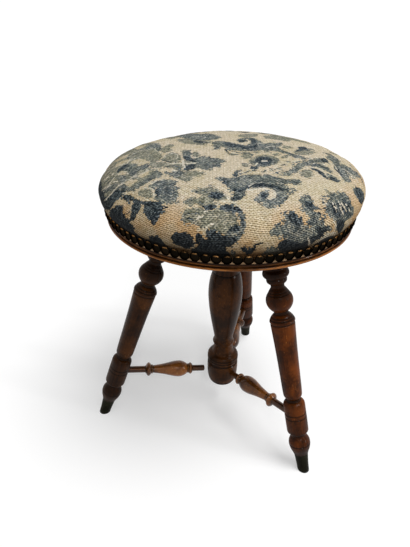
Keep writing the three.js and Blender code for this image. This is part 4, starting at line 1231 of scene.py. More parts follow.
# %% The cartoon, at the far side and in the middle
MOTIFS |= {
    "far side": """
M -114,116 -103,116 -90,111 -80,122 -68,110 -55,90 -42,101 -33,86 -26,67 -23,62 -29,49 -37,45 -46,38 -58,31
  -69,28 -78,30 -73,44 -85,48 -79,63 -89,78 -101,73
L1.7 -64,38 -55,34 -46,28 -37,32
L1.3 -79,97 -66,94 -55,82
S -37,26 -31,37 -20,34 -8,23 3,16 15,19 22,39 17,51 27,59 31,41 36,24 48,32 64,33 59,24 43,15 33,1 19,-1
  7,-6 -4,-7 -15,-2 -23,5 -29,-7 -36,-7 -32,7
D 3,37 9,44 15,38 10,29 4,30
D -14,23 -7,22 2,16 11,9 20,12 29,21 25,5 13,1 2,3 -9,10
P1.3 -2,29 5,23 14,26 19,36
L1.8 -19,-6 -10,-14 1,-21 9,-22
M -18,-9 -12,-23 -2,-27 -9,-33 -16,-25
S 34,-4 45,2 59,0 69,-8 79,-21 89,-27 101,-25 91,-34 80,-33 71,-25 63,-14 52,-8 41,-9
P1.7 39,4 49,13 61,15 72,11
M 66,20 77,20 78,11 68,5
M 2,-35 5,-26 12,-22 18,-28 15,-40 8,-44
M 18,-16 25,-13 32,-15 24,-20
M 35,-11 44,-10 44,-15 37,-17
M 45,-22 54,-19 56,-25 48,-29
M 58,98 71,101 91,97 108,84 121,68 107,64 89,71 70,76
M 81,-5 89,12 95,23 96,13 106,23 115,20 104,7 115,8 105,-5 90,-15 81,-16
D 81,-1 88,11 95,12 90,3 83,-3
S -90,104 -77,112 -61,106 -45,93 -33,85 -24,67 -22,59 -31,50 -43,46 -55,46 -65,51 -73,63 -83,74
M -91,62 -79,62 -67,51 -55,39 -43,42 -36,37 -43,25 -50,14 -59,20 -69,25 -80,36
D -65,45 -55,42 -46,36 -43,29 -52,24 -61,32
L1.6 -85,103 -71,102 -55,89 -36,75
L1.3 -46,48 -35,52 -25,58
P1.3 -50,33 -40,34
P1.2 -70,72 -58,74 -46,62
S 2,48 12,60 24,62 30,53 35,41 39,30 34,11 24,10 21,25 20,42 14,49 6,35 0,40
D 5,44 14,47 15,35 5,32
D 21,53 27,52 29,34 22,20 21,36
S -27,38 -15,33 -2,23 11,13 25,7 41,20 57,32 67,37 61,13 44,-5 27,-10 10,-13 -7,-11 -19,-5 -15,5 -26,15
  -36,5 -34,26
D -18,31 -8,22 0,15 -3,4 -13,8 -21,20
D 3,9 13,9 19,5 12,-4 3,-1
L1.7 -14,-9 -4,-7 7,-9 20,-9 32,-2
L1.8 -19,-7 -16,-18 -12,-25 -5,-27 1,-25
L1.3 -9,-16 -2,-19
P1.4 -12,-3 -1,-5 10,-6
P1.3 29,21 43,33 56,42
P1.7 -11,-21 -5,-22
M 4,-20 12,-16 19,-23 16,-36 8,-40 3,-35
M 8,83 34,95 32,71 6,65
M 45,79 60,90 71,79 85,71 79,52 61,56 46,61
L1.8 40,5 47,7 55,4 65,1
S 43,13 54,7 63,-1 72,-11 81,-18 91,-23 87,-33 77,-32 67,-22 57,-12 47,-6
M 66,20 77,21 73,7 64,7
M 82,-3 95,6 108,11 113,4 98,-11 84,-16
D 88,18 98,28 104,19 92,6
L1.7 78,-6 88,5 96,12 104,11 112,14
L1.3 61,-26 66,-28
L1.3 61,-47 70,-50
L1.3 54,-61 61,-61
L1.3 51,42 60,38
""",
    "flower": """
S 12,-57 19,-49 24,-39 33,-34 41,-37 46,-42 53,-47 47,-55 39,-64 30,-69 22,-66 17,-62
M 1,-64 7,-61 10,-66 6,-72 2,-72
M 13,-70 17,-66 22,-71 20,-79 13,-79
M 26,-83 31,-82 30,-87 26,-87
M 37,-77 42,-74 41,-83 37,-83
M 45,-74 54,-70 51,-77
M 51,-62 58,-59 56,-64
M 62,-50 68,-45 66,-53
M 56,-33 65,-27 63,-36 57,-38
P1.3 38,-82 47,-67 58,-53
M 11,-53 20,-36 34,-26 45,-31 53,-46 43,-62 31,-71 19,-69
D 20,-47 27,-35 38,-35 43,-48 36,-62 26,-63 20,-58
P4.2 30,-51 35,-50
P2 22,-58 19,-67
L1.7 2,-61 9,-63
L1.6 2,-72 10,-72
D 14,-69 21,-68 22,-76 17,-81 12,-77
L1.8 -2,-96 4,-89 12,-83 21,-77
L1.6 26,-83 31,-82
L1.6 37,-76 43,-77
L1.3 42,-89 51,-81 58,-76
L1.3 6,-26 13,-23 17,-30
""",
    "comma": """
S -12,-95 -9,-87 -3,-82 2,-83 -3,-89 -5,-95 -1,-100 -7,-104 -11,-101
D -11,-96 -8,-90 -6,-94 -6,-102 -9,-103
L1.6 -1,-98 8,-88 20,-82
P1.3 0,-92 8,-84 16,-79
""",
}
print(len(MOTIFS), "motifs so far")

# %% The cartoon, on the right
MOTIFS |= {
    "right band": """
S 48,-93 54,-88 60,-78 67,-68 75,-54 85,-44 98,-36 108,-34 97,-47 87,-57 80,-69 72,-80 64,-90 56,-95
L1.6 60,-78 54,-84 46,-89
L1.3 69,-59 79,-46 90,-38 101,-34
D 92,-62 100,-61 106,-65 111,-70 111,-79 116,-83 110,-86 105,-78 101,-71 94,-66
S 110,-74 118,-70 125,-73 131,-80 131,-85 124,-86 115,-85 110,-82
M 81,-81 87,-75 92,-76 92,-84 86,-93 79,-91
L1.4 101,-35 112,-26 121,-26 125,-35
L1.3 90,-57 99,-50 108,-48 116,-53
P1.4 94,-33 106,-21 118,-16
P1.4 94,-47 110,-39 119,-45
P1.4 98,-56 109,-60 112,-71
S 109,-28 117,-19 122,-21 122,-29 113,-37 109,-35
M 95,-34 111,-18 122,-15 122,-29 109,-43 98,-44
D 115,-20 124,-14 125,-28 115,-33
L1.8 67,-54 78,-46 90,-39 100,-36
L1.7 92,-53 104,-50 113,-53 121,-56
S 94,-46 108,-40 117,-46 124,-56 120,-66 112,-63 104,-57 94,-55
D 117,-77 125,-79 133,-82 125,-88 117,-86
P1.7 88,-60 100,-61 108,-66 112,-75 113,-81
P1.6 60,-55 70,-49 82,-40
M 79,-75 89,-68 94,-74 90,-88 80,-93 76,-86
""",
    "right leaf": """
S 126,-7 136,10 144,5 147,-8 145,-29 148,-44 151,-57 152,-67 145,-78 139,-78 136,-69 136,-55 132,-45 131,-32
  130,-21
D 131,-32 135,-40 138,-54 138,-68 134,-62 131,-50
S 145,-21 153,-22 163,-24 171,-29 175,-43 166,-47 156,-44 149,-40
P1.3 155,-48 162,-55 167,-64
P1.2 144,-38 152,-45 156,-55
L1.6 145,36 159,41 170,29
M 128,16 137,22 142,16 132,8
L1.7 165,-7 172,-19 176,-38 177,-59
L2.1 126,13 136,15 142,8
L2 131,-37 134,-52 137,-66
P1.7 128,-18 132,-31 134,-49
L2.1 145,38 159,41 168,36
M 145,-21 157,-20 165,-29 169,-45 158,-57 149,-50 143,-39
L1.7 160,-21 169,-30 174,-41 177,-56
""",
    "right edge": """
S 150,-87 159,-84 169,-82 173,-87 171,-97 159,-102 154,-100 150,-97
L1.3 155,-77 163,-77 169,-80
D 156,-80 167,-74 174,-76 178,-86 171,-100 159,-102 154,-96
L1.4 149,-89 157,-87
L1.3 148,-98 156,-95
""",
}
print(len(MOTIFS), "motifs so far")

# %% The cartoon, at the front
MOTIFS |= {
    "scroll": """
S -34,-105 -26,-103 -17,-107 -7,-104 5,-97 20,-94 33,-94 44,-99 55,-102 68,-101 76,-104 74,-110 64,-115
  55,-114 57,-123 67,-125 58,-129 63,-133 56,-136 54,-145 49,-153 42,-159 32,-163 24,-160 18,-154 12,-152
  18,-147 18,-142 22,-136 29,-132 33,-137 29,-144 31,-149 37,-147 40,-140 39,-133 34,-129 28,-126 19,-128
  9,-131 4,-137 6,-144 1,-148 -5,-152 -10,-154 -13,-148 -10,-144 -13,-139 -15,-133 -18,-127 -22,-120
  -26,-113
D -12,-133 -8,-130 -1,-131 5,-126 8,-121 17,-119 26,-117 36,-118 46,-123 53,-128 48,-131 38,-127 28,-124
  19,-126 10,-128 4,-134 -3,-137 -10,-137
D -13,-148 -8,-145 2,-145 4,-146 -5,-153 -11,-153
D -23,-113 -20,-112 -17,-118 -20,-122 -23,-120
D 22,-144 25,-139 30,-141 29,-147 24,-149
L1.3 7,-103 15,-105 22,-111 32,-112 42,-111
L1.7 33,-95 42,-102 52,-105 62,-109 75,-108
M 8,-108 15,-106 19,-111 17,-116 9,-116
P2.3 5,-134 16,-132 26,-130 34,-131 39,-137 38,-144 32,-149
P1.1 8,-125 17,-116 24,-115
P1.1 43,-114 51,-116 54,-123
""",
    "shell": """
M -59,-131 -54,-128 -46,-128 -41,-125 -38,-120 -35,-128 -30,-132 -24,-136 -19,-143 -16,-150 -24,-149
  -33,-148 -40,-145 -46,-141 -53,-137
D -40,-142 -36,-138 -30,-137 -24,-142 -23,-148 -31,-149 -38,-146
M -68,-150 -64,-146 -58,-144 -50,-146 -42,-150 -33,-154 -27,-157 -30,-161 -38,-160 -46,-159 -55,-157
  -63,-155
D -44,-162 -40,-159 -33,-158 -29,-161 -30,-165 -36,-166 -42,-165
M -69,-167 -66,-163 -60,-161 -53,-162 -45,-165 -38,-168 -43,-171 -48,-174 -52,-177 -56,-180 -63,-179
  -68,-176 -66,-173
M -38,-168 -26,-163 -20,-166 -11,-169 -4,-176 -1,-184 1,-193 -1,-199 -11,-200 -24,-195 -34,-191 -37,-187
  -33,-184 -38,-181 -43,-178 -40,-173
S -26,-163 -22,-158 -14,-157 -7,-160 -1,-165 3,-172 5,-180 6,-188 6,-194 5,-200 1,-204 -6,-203 0,-198 1,-192
  -1,-183 -5,-175 -12,-169 -20,-167
D -25,-165 -19,-160 -12,-160 -5,-165 0,-170 -7,-169 -15,-165
D -39,-191 -35,-190 -29,-190 -23,-193 -16,-197 -8,-199 1,-203 -6,-207 -11,-212 -18,-213 -12,-220 -11,-231
  -32,-232 -53,-228 -69,-225 -58,-213 -51,-208 -44,-205 -37,-201
M -50,-179 -44,-177 -41,-180 -38,-185 -41,-189 -45,-188 -49,-183
S -15,-194 -9,-191 -2,-188 1,-193 -1,-199 -10,-198
P1.6 -52,-180 -49,-176 -43,-174
P1.6 -39,-190 -37,-186 -32,-184
P1.8 -29,-159 -25,-153 -17,-152 -8,-156 -3,-162
P1.2 -22,-142 -17,-148 -15,-155
P1.1 -42,-168 -35,-167 -28,-166
S -7,-218 -1,-216 1,-225 -3,-231 -8,-230
M -59,-132 -53,-127 -43,-128 -36,-132 -26,-138 -18,-145 -14,-153 -23,-153 -32,-155 -30,-161 -39,-162
  -48,-159 -60,-156 -67,-152 -64,-148 -54,-145 -45,-143
M -68,-165 -63,-162 -54,-161 -43,-164 -34,-167 -27,-163 -18,-166 -23,-183 -37,-182 -48,-183 -57,-182
  -64,-179 -68,-173
M -51,-176 -42,-174 -33,-172 -22,-171 -11,-176 -3,-183 1,-192 -8,-195 -20,-194 -32,-189 -41,-190 -47,-186
S -11,-200 -3,-195 4,-192 6,-198 1,-205 -7,-206
L1.3 -41,-128 -37,-122 -35,-129
L1.6 -55,-134 -48,-133 -39,-137
L1.3 -63,-150 -55,-150 -46,-155
L1.4 -65,-169 -57,-168 -48,-170
L1.4 -66,-175 -58,-175 -51,-178
P1.7 -29,-159 -26,-155 -19,-153 -12,-154 -6,-159 -1,-165
P2 -48,-174 -43,-173
P2.3 -40,-189 -37,-186 -34,-184
P1.6 -19,-144 -15,-151
G -49,-189 -43,-191 -41,-196 -46,-200 -41,-201 -38,-197 -37,-191 -42,-188
G -56,-199 -51,-201 -53,-210 -59,-214
D -39,-139 -33,-136 -25,-139 -20,-145 -28,-150 -36,-147
D -25,-163 -16,-158 -7,-161 0,-168 2,-172 -7,-169 -16,-167
D -45,-160 -38,-160 -30,-162 -32,-167 -40,-167
D -13,-188 -5,-186 0,-189 -2,-192 -9,-193
L1.4 -2,-173 2,-181 4,-190 3,-196
""",
    "nails": """
D 5,-212 10,-210 15,-212 14,-216 20,-212 22,-207 26,-204 32,-205 27,-209 26,-215 22,-221 17,-229 11,-220
  6,-214
S 41,-226 39,-213 43,-208 50,-207 58,-211 62,-207 61,-198 66,-196 75,-198 89,-201 105,-206 103,-213 94,-219
  79,-223 66,-226 53,-229
D 62,-207 62,-198 72,-198 91,-202 102,-211 86,-213 76,-216
D -116,-182 -106,-183 -100,-188 -99,-194 -103,-204 -98,-212 -115,-205 -130,-196 -133,-187
D -82,-192 -77,-188 -71,-188 -65,-188 -59,-191 -54,-195 -53,-202 -57,-209 -68,-212 -76,-206 -83,-201
D -49,-195 -46,-193 -42,-196 -40,-201 -35,-199 -28,-199 -19,-200 -9,-201 -1,-205 -5,-210 -13,-215 -8,-222
  -9,-233 -29,-233 -50,-230 -65,-225 -64,-215 -51,-210 -47,-204
""",
    "cluster": """
S 36,-192 38,-188 42,-183 49,-181 47,-177 51,-174 48,-170 54,-166 62,-165 68,-168 73,-170 72,-175 80,-176
  90,-176 102,-175 112,-179 110,-185 101,-191 97,-199 99,-208 78,-204 73,-209 62,-210 54,-203 59,-197
  51,-195 43,-194
D 57,-174 64,-172 70,-173 75,-175 69,-179 62,-177
D 59,-198 71,-196 85,-196 95,-190 107,-183 110,-191 102,-202 86,-203 71,-207
S 69,-142 73,-135 80,-132 84,-136 87,-142 90,-148 95,-150 90,-155 99,-155 108,-154 99,-160 97,-163 107,-162
  104,-166 116,-165 128,-164 120,-170 112,-175 104,-179 90,-178 82,-174 83,-166 77,-162 70,-160 71,-151
  68,-147
D 77,-147 82,-144 88,-148 84,-152 79,-152
D 98,-171 109,-170 124,-166 118,-171 109,-177 99,-176
S 106,-126 115,-116 123,-110 134,-106 139,-110 142,-115 147,-121 155,-123 157,-129 153,-136 147,-144
  151,-149 148,-155 139,-161 129,-157 123,-155 114,-156 106,-153 102,-148 104,-142 98,-140 105,-135 98,-134
  108,-130
M 104,-112 110,-112 115,-118 110,-123 105,-118
P1.2 120,-125 125,-132 129,-139
P1.7 128,-128 134,-131
P1.7 128,-138 134,-141
P1.1 133,-124 139,-128 146,-130
P1.1 111,-132 115,-138 121,-145
D 109,-135 115,-135 122,-141 131,-146 124,-150 115,-148
D 130,-119 138,-120 146,-126 148,-132 138,-131 131,-128
P1.1 98,-136 105,-133
P1.1 98,-143 105,-139
P2 103,-196 112,-192 117,-184 122,-175 131,-168 143,-162
P1.7 94,-187 100,-191 106,-195
P2 119,-157 129,-157 134,-162 138,-166
P1.6 163,-157 164,-146 163,-135
D 121,-189 121,-181 129,-173 151,-165 160,-168 152,-178 141,-188 128,-194
L1.6 53,-126 63,-123
L1.6 55,-130 66,-127
L1.6 52,-138 61,-135
L1.3 49,-145 57,-143
L1.4 97,-128 107,-127
L1.4 98,-134 107,-133
L1.4 98,-139 108,-138
L1.4 99,-144 109,-142
L1.4 102,-149 111,-146
L1.6 86,-151 94,-150 101,-148
L1.6 93,-157 104,-154
L1.6 97,-161 106,-158
L1.6 101,-164 109,-162
L1.6 46,-169 54,-165 60,-163
L1.6 43,-183 47,-180
L1.4 109,-169 119,-163 124,-158
D 57,-167 64,-165 69,-169 75,-173 70,-178 62,-177 55,-173
D 75,-145 83,-142 87,-149 79,-155
D 53,-203 59,-197 71,-196 85,-196 101,-193 116,-202 101,-210 78,-206 71,-215 58,-211
G 70,-206 78,-204 86,-205 93,-213 85,-215
D 119,-197 129,-186 136,-175 158,-165 159,-170 143,-187 129,-198
D 95,-187 104,-181 112,-175 120,-176 112,-185 105,-192
D 118,-133 130,-128 139,-129 149,-131 143,-138 128,-140
D 125,-154 133,-147 149,-145 157,-151 153,-159 134,-159
L1.8 140,-120 149,-124 151,-132
L1.6 117,-125 127,-118 135,-118
P1.8 126,-129 131,-132 137,-134
P1.8 125,-137 134,-141
P1.3 117,-133 120,-140
P2.1 94,-188 101,-193 113,-198 122,-193 120,-184 128,-174 140,-167 153,-160
P2 159,-157 160,-149 165,-139 167,-130
""",
}
print(len(MOTIFS), "motifs so far")

# %% The cartoon, the ground and shade at the edges
MOTIFS |= {
    "left ground": """
M -202,-64 -202,-35 -198,-13 -191,11 -182,34 -170,57 -154,78 -135,81 -121,58 -113,36 -110,-3 -105,-18
  -107,-39 -120,-41 -119,-59 -106,-73 -102,-88 -115,-98 -129,-106 -145,-103 -156,-104 -164,-107 -188,-93
G -160,-47 -155,-48 -148,-55 -147,-64 -154,-62 -160,-54
G -147,-25 -140,-19 -129,-27 -120,-39 -120,-53 -123,-59 -129,-59 -134,-52 -136,-40 -143,-33
G -130,-76 -124,-71 -118,-69 -116,-77 -120,-83 -126,-84
G -146,-89 -141,-84 -135,-84 -129,-89 -132,-94 -138,-98 -143,-96
G -173,-15 -165,-9 -155,-9 -150,-17 -157,-23 -165,-26
G -182,16 -172,15 -164,18 -155,17 -157,5 -168,-1
G -152,54 -144,60 -136,56 -139,40 -146,35
P1.7 -183,-45 -177,-44 -168,-44
P2.1 -185,-67 -176,-70 -169,-68 -165,-59 -161,-52
P2.6 -174,-94 -166,-93 -159,-91 -154,-86 -148,-86
P1.8 -182,-24 -175,-21 -166,-22 -157,-23 -149,-20 -143,-16
P1.4 -140,-79 -132,-76 -125,-73 -118,-68
P1.4 -115,-109 -110,-105 -103,-100 -97,-100
L1.6 -182,-54 -175,-55 -167,-56
L1.6 -181,-80 -171,-81 -164,-77
L1.3 -155,0 -149,4 -141,9
L1.6 -145,29 -135,30 -128,36
D -199,-21 -191,-35 -182,-67 -177,-88 -176,-100 -196,-75 -203,-42
""",
    "left shade": """
D -195,-58 -179,-86 -166,-92 -155,-92 -147,-102 -148,-110 -155,-112 -163,-113 -167,-116 -187,-101 -198,-79
D -162,-118 -154,-119 -146,-128 -144,-137 -140,-147 -137,-157 -140,-166 -146,-176 -133,-186 -133,-193
  -147,-186 -162,-171 -176,-153 -189,-134 -200,-112
D -130,-131 -119,-138 -120,-144 -124,-148 -128,-154 -134,-152 -133,-143 -130,-138
D -201,-90 -215,-89 -201,-121 -188,-145 -171,-167 -153,-186 -137,-198 -151,-187 -175,-165 -197,-138
  -216,-106
L1.3 -144,-120 -137,-126 -133,-131
L1.3 -144,-139 -137,-141 -134,-140
M -89,-137 -82,-137 -76,-143 -76,-150 -83,-150 -89,-146
""",
    "small leaf": """
L1.3 -87,-113 -81,-109
L1.3 -85,-126 -78,-123
L1.3 -85,-132 -78,-131
S -107,-144 -98,-146 -90,-152 -94,-154 -87,-159 -94,-159 -96,-162 -104,-156
L1.6 -98,-150 -91,-151 -86,-154
L1.3 -97,-156 -89,-157
""",
    "right shade": """
D 195,-142 215,-108 188,-109 189,-110 214,-110 194,-142
""",
}


def read_motif(text):
    """The shapes of one motif as (kind, width, corners)."""
    shapes = []
    for word in text.split():
        if word[0] in "SMGDLP":
            shapes.append((word[0], float(word[1:] or 0), []))
        else:
            shapes[-1][2].append(tuple(float(v) for v in word.split(",")))
    return shapes


shapes = [shape for text in MOTIFS.values() for shape in read_motif(text)]
print(len(MOTIFS), "motifs,", len(shapes), "shapes")

# %% [markdown]
# A woven cloth repeats its pattern. The parts of the seat that the photo hides get the repeats: the same
# leaves, one repeat further back, and one further to the right below the edge of the crown.

# %% The repeat
ROW_REPEAT, BACK_FROM = 330.0, 100.0
SIDE_REPEAT, SIDE_DROP, SKIRT_REACH, SKIRT_FROM = 270.0, 20.0, 202.0, (95.0, -75.0)


def repeated(shapes, across, along, keep):
    again = []
    for kind, width, corners in shapes:
        there = [(u + across, v + along) for u, v in corners]
        if all(keep(u, v) for u, v in there):
            again.append((kind, width, there))
    return again


def on_right_skirt(u, v):
    return math.hypot(u, v) > SKIRT_REACH and u > SKIRT_FROM[0] and v > SKIRT_FROM[1]


shapes = (shapes + repeated(shapes, 0, ROW_REPEAT, lambda u, v: v > BACK_FROM)
          + repeated(shapes, SIDE_REPEAT, SIDE_DROP, on_right_skirt))
print(len(shapes), "shapes with the repeats")

# %% [markdown]
# The material needs to know how far each point of the cloth is from the edge of a leaf. A distance, unlike a
# painted colour, stays sharp between the points of the mesh, and the yarns can push it to and fro.

# %% Distances to the leaves
FAR, CORNER_STEP, LEAVES = 9.0, 2.2, "SMGD"
EDGES = {"grey_edge": "M", "bare_edge": "G", "slate_edge": "S", "deep_edge": "DL", "pale_edge": "P"}


def through(corners, closed):
    """A smooth line through the corners, in short straight steps."""
    points = np.array(corners, float)
    if len(points) < 3 and not closed:
        return points
    if closed:
        ends = np.vstack([points[-1:], points, points[:2]])
    else:
        ends = np.vstack([2 * points[:1] - points[1:2], points, 2 * points[-1:] - points[-2:-1]])
    line = []
    for a, b, c, d in zip(ends[:-3], ends[1:-2], ends[2:-1], ends[3:]):
        count = max(2, round(np.linalg.norm(c - b) / CORNER_STEP))
        t = np.linspace(0, 1, count, endpoint=False)[:, None]
        line.append(0.5 * (2 * b + (c - a) * t + (2 * a - 5 * b + 4 * c - d) * t**2
                           + (3 * b - a - 3 * c + d) * t**3))
    return np.vstack([*line, points[:1] if closed else points[-1:]])


def edge_distance(spots, line, closed, half_width):
    """Millimetres to the edge of a shape, above zero inside it."""
    start, end = line[:-1], line[1:]
    run = end - start
    share = np.clip(((spots[:, None] - start) * run).sum(2) / ((run * run).sum(1) + 1e-9), 0, 1)
    away = np.linalg.norm(start + share[..., None] * run - spots[:, None], axis=2).min(1)
    if not closed:
        return half_width - away
    x, y = spots[:, :1], spots[:, 1:]
    crosses = (start[:, 1] > y) != (end[:, 1] > y)
    at = start[:, 0] + (y - start[:, 1]) * run[:, 0] / np.where(run[:, 1] == 0, 1e-9, run[:, 1])
    inside = (crosses & (x < at)).sum(1) % 2 == 1
    return np.where(inside, away, -away)


def distances(spots, shapes, kinds):
    found = np.full(len(spots), -FAR)
    for kind, width, corners in shapes:
        if kind not in kinds:
            continue
        line = through(corners, kind in LEAVES)
        near = np.all((spots > line.min(0) - FAR) & (spots < line.max(0) + FAR), axis=1)
        if near.any():
            distance = edge_distance(spots[near], line, kind in LEAVES, width / 2)
            found[near] = np.maximum(found[near], distance)
    return found


edges = {name: distances(cloth_place, shapes, kinds) for name, kinds in EDGES.items()}
print({name: f"{(found > 0).mean():.0%}" for name, found in edges.items()})

# %% [markdown]
# ## Woven cloth
# Seen close, the cloth is rows of short stitches that slant up and down by turns, like a zigzag, over the ribs
# of the warp. Each stitch is a bulge of yarn with its own shade, and the gaps between are dark. Each row starts
# a little further on than the one before. The group below works that out from the flat place, so the rows run
# straight over the seat. Its last result is how far the edge of a leaf steps at each stitch, because a weaver
# changes colour only at a stitch.

# %% The shared weave group
ROW_WANDER, ROW_START, STEP_DRIFT, STEP_SHADE, STEP_MIDDLE = 6.0, 0.3, 19.0, 3.0, -11.0


def from_middle(tree, value):
    """How far into its cell a number is, from 0 in the middle to 0.5 at either end."""
    middle = maths(tree, "SUBTRACT", maths(tree, "FRACT", value), 0.5)
    return middle, maths(tree, "ABSOLUTE", middle)


def make_weave_group():
    tree, given, result = group_tree("weave", {"Row": 2.3, "Stitch": 2.25, "Slant": 0.25},
                                     ("Height", "Shade", "Step"))
    place = given["Place"]
    x, y, _ = put(tree, "ShaderNodeSeparateXYZ", {0: place}).outputs
    rows = maths(tree, "DIVIDE", scaled(tree, noise_at(tree, place, 0.03, 1.0), ROW_WANDER, y), given["Row"])
    row = maths(tree, "FLOOR", rows)
    start = put(tree, "ShaderNodeTexWhiteNoise", {"W": row}, noise_dimensions="1D").outputs[0]
    stitches = maths(tree, "ADD", scaled(tree, start, ROW_START, row),
                     maths(tree, "DIVIDE", x, given["Stitch"]))
    stitch = maths(tree, "FLOOR", stitches)
    across, _ = from_middle(tree, rows)
    along, from_end = from_middle(tree, stitches)
    turn = scaled(tree, maths(tree, "FLOORED_MODULO", stitch, 2.0), -2.0, 1.0)
    lean = times(tree, times(tree, along, turn), given["Slant"])
    arch = between(tree, maths(tree, "ABSOLUTE", maths(tree, "ADD", lean, across)), 0.5, 0.12)
    ends = scaled(tree, between(tree, from_end, 0.5, 0.34), 0.5, 0.5)
    _, from_rib = from_middle(tree, maths(tree, "DIVIDE", x, times(tree, given["Stitch"], 2.0)))
    rib = scaled(tree, between(tree, from_rib, 0.5, 0.3), 0.5, 0.5)
    shade = put(tree, "ShaderNodeTexWhiteNoise", {"Vector": three(tree, stitch, row)}).outputs[0]
    drift = noise_at(tree, three(tree, maths(tree, "DIVIDE", x, 7.0), row), 1.0, 2.0)
    feed(tree, result, {
        "Height": times(tree, arch, times(tree, ends, rib)), "Shade": shade,
        "Step": scaled(tree, drift, STEP_DRIFT, scaled(tree, shade, STEP_SHADE, STEP_MIDDLE))})
    return tree


weave_group = make_weave_group()
print("group:", weave_group.name)

# %% [markdown]
# Each area has the colour of its yarn in shade, the colour in light and the colour of the gap between its
# stitches. Each stitch darkens from its crown into that gap as painted shade, and the gap's colour is partly
# the cloth's own and partly painted shade. Slate and grey leaves have a darker outline, and slate leaves have
# dark veins. Years of use have stained the cloth yellow over the edge of the seat. Just above the nails the
# cloth and its deep blue are darker, partly with dirt and partly as painted shade.

# %% The tapestry material
YARNS = {
    # in shade, in light, gap with painted shade, how far the stitches push the edge, how dark the outline is
    "ground": ("ecdfc5", "fff7e9", "958464", 0, 0),
    "grey_edge": ("868a7d", "d8d4c2", "383d3d", 0.9, 0.4),
    "bare_edge": ("dccfb2", "f2e8d2", "9a8c70", 0.6, 0),
    "slate_edge": ("667276", "cfd0c5", "1c272e", 0.9, 0.5),
    "deep_edge": ("1b2833", "7d8a93", "080c10", 0.55, 0),
    "pale_edge": ("ece7d8", "fffaf0", "a9a393", 0.25, 0),
}
# The dark colours laid just above the nails, on the ground and on the deep blue, are partly dirt and partly
# painted shade.
YELLOWED, SHADED, GRIME_AND_SHADE, HEM, LINT, DIRT_AND_SHADE_NEAR_NAILS = "e2c294", "eeeedd", "5a4935", "dcb68e", "e4dfd4", "0b0f13"


def yarn(tree, name, height, light):
    dark, bright, gap_with_shade, *_ = YARNS[name]
    # The yarn darkens from its crown into the gap between stitches, which is painted shade.
    return blend(tree, between(tree, height, 0.02, 0.5), gap_with_shade, blend(tree, light, dark, bright))


def leaf_colour(tree, name, edge, tones, veins, low):
    """The inside of an area, with what is laid over its yarn."""
    outline = YARNS[name][4]
    layers = []
    if outline:
        layers.append((times(tree, between(tree, edge, 2.6, 0.8), outline), tones["deep_edge"]))
    if name == "deep_edge":
        # Near the nails the deep blue is darker, partly dirt and partly painted shade.
        layers.append((times(tree, between(tree, low, 0.42, 0.62), 0.55), DIRT_AND_SHADE_NEAR_NAILS))
    if name == "slate_edge":
        layers.append((times(tree, veins, 0.5), tones["deep_edge"]))
    return layered(tree, tones[name], *layers)


def make_tapestry():
    material, tree, shader = finish_named("tapestry")
    place = attribute(tree, "cloth", "Vector")
    height, shade, step = put(tree, "ShaderNodeGroup", {"Place": place}, node_tree=weave_group).outputs
    light = maths(tree, "POWER", shade, 1.6)
    tones = {name: yarn(tree, name, height, light) for name in YARNS}
    patch, low = noise_at(tree, place, 0.022, 2.0), attribute(tree, "cloth_low")
    stain = times(tree, between(tree, low, 0.0, 0.6), scaled(tree, between(tree, patch, 0.62, 0.4), 0.65, 0.35))
    veins = between(tree, scaled(tree, step, 0.012, noise_at(tree, place, 0.075, 2.0)), 0.5, 0.6)
    slub = noise_at(tree, stretched(tree, place, (0.16, 0.42, 1.0)), 1.0, 2.0, Roughness=0.7)
    woven = blend(tree, times(tree, stain, 0.8), tones["ground"], YELLOWED, "MULTIPLY")
    for name in EDGES:
        edge = scaled(tree, step, YARNS[name][3], attribute(tree, name))
        woven = blend(tree, between(tree, edge, -0.35, 0.35), woven,
                      leaf_colour(tree, name, edge, tones, veins, low))
    woven = layered(
        tree, woven,
        (times(tree, between(tree, patch, 0.42, 0.62), 0.5), SHADED, "MULTIPLY"),
        (times(tree, stain, 0.3), YELLOWED, "MULTIPLY"),
        # Just above the nails the cloth is darker, partly dirt and partly painted shade.
        (times(tree, between(tree, low, 0.62, 0.86), 0.95), GRIME_AND_SHADE, "MULTIPLY"),
        (times(tree, attribute(tree, "hem"), 0.85), HEM),
        (between(tree, slub, 0.6, 0.36), LINT, "MULTIPLY"),
    )
    feed(tree, shader, {"Base Color": woven, "Roughness": 0.95, "Specular IOR Level": 0.12,
                        "Normal": bumped(tree, height, 0.7, 0.001)})
    return material


tapestry = make_tapestry()
print(tapestry.name, len(tapestry.node_tree.nodes), "nodes")

# %% [markdown]
# The cover is one soft piece with its stuffing. It carries its place on the flat cloth, the distances to the
# leaves, how low each point is, and the hem by the nails' feet.

# %% The cover
LOW_CLOTH, HEM_CLOTH = ((150.0, 240.0), (0, 1)), ((408.6, 409.8), (1, 0))
cover = make_piece("seat_cushion", cover_place, cover_faces, tapestry)
add_places(cover.data, "cloth", np.column_stack([cloth_place, np.zeros(len(cloth_place))]))
for name, found in edges.items():
    add_values(cover.data, name, found)
add_values(cover.data, "cloth_low", np.interp(cloth_reach, *LOW_CLOTH))
add_values(cover.data, "hem", np.interp(cover_place[:, 2], *HEM_CLOTH))
stands_for(cover, "seat", "tapestry", "seat_cover", "seat_stuffing")

# %% [markdown]
# ## Upholstery nails
# Close nailing is the same ring as the screws', with a domed head turned outwards. Each head is tipped a little
# at random and has its own patina. The upper edge of each dome is bright brass in patches, a painted highlight
# from the light above, and the rest is black.

# %% The finish of the nails
# The brass colour is the painted highlight on the upper edge of the nails.
NAIL_BLACK, NAIL_BROWN, BRASS_HIGHLIGHT, BRASS_AT_EDGE, MOST_BRASS_HIGHLIGHT = "0b0906", "18130d", "9a7044", "54402b", 0.62


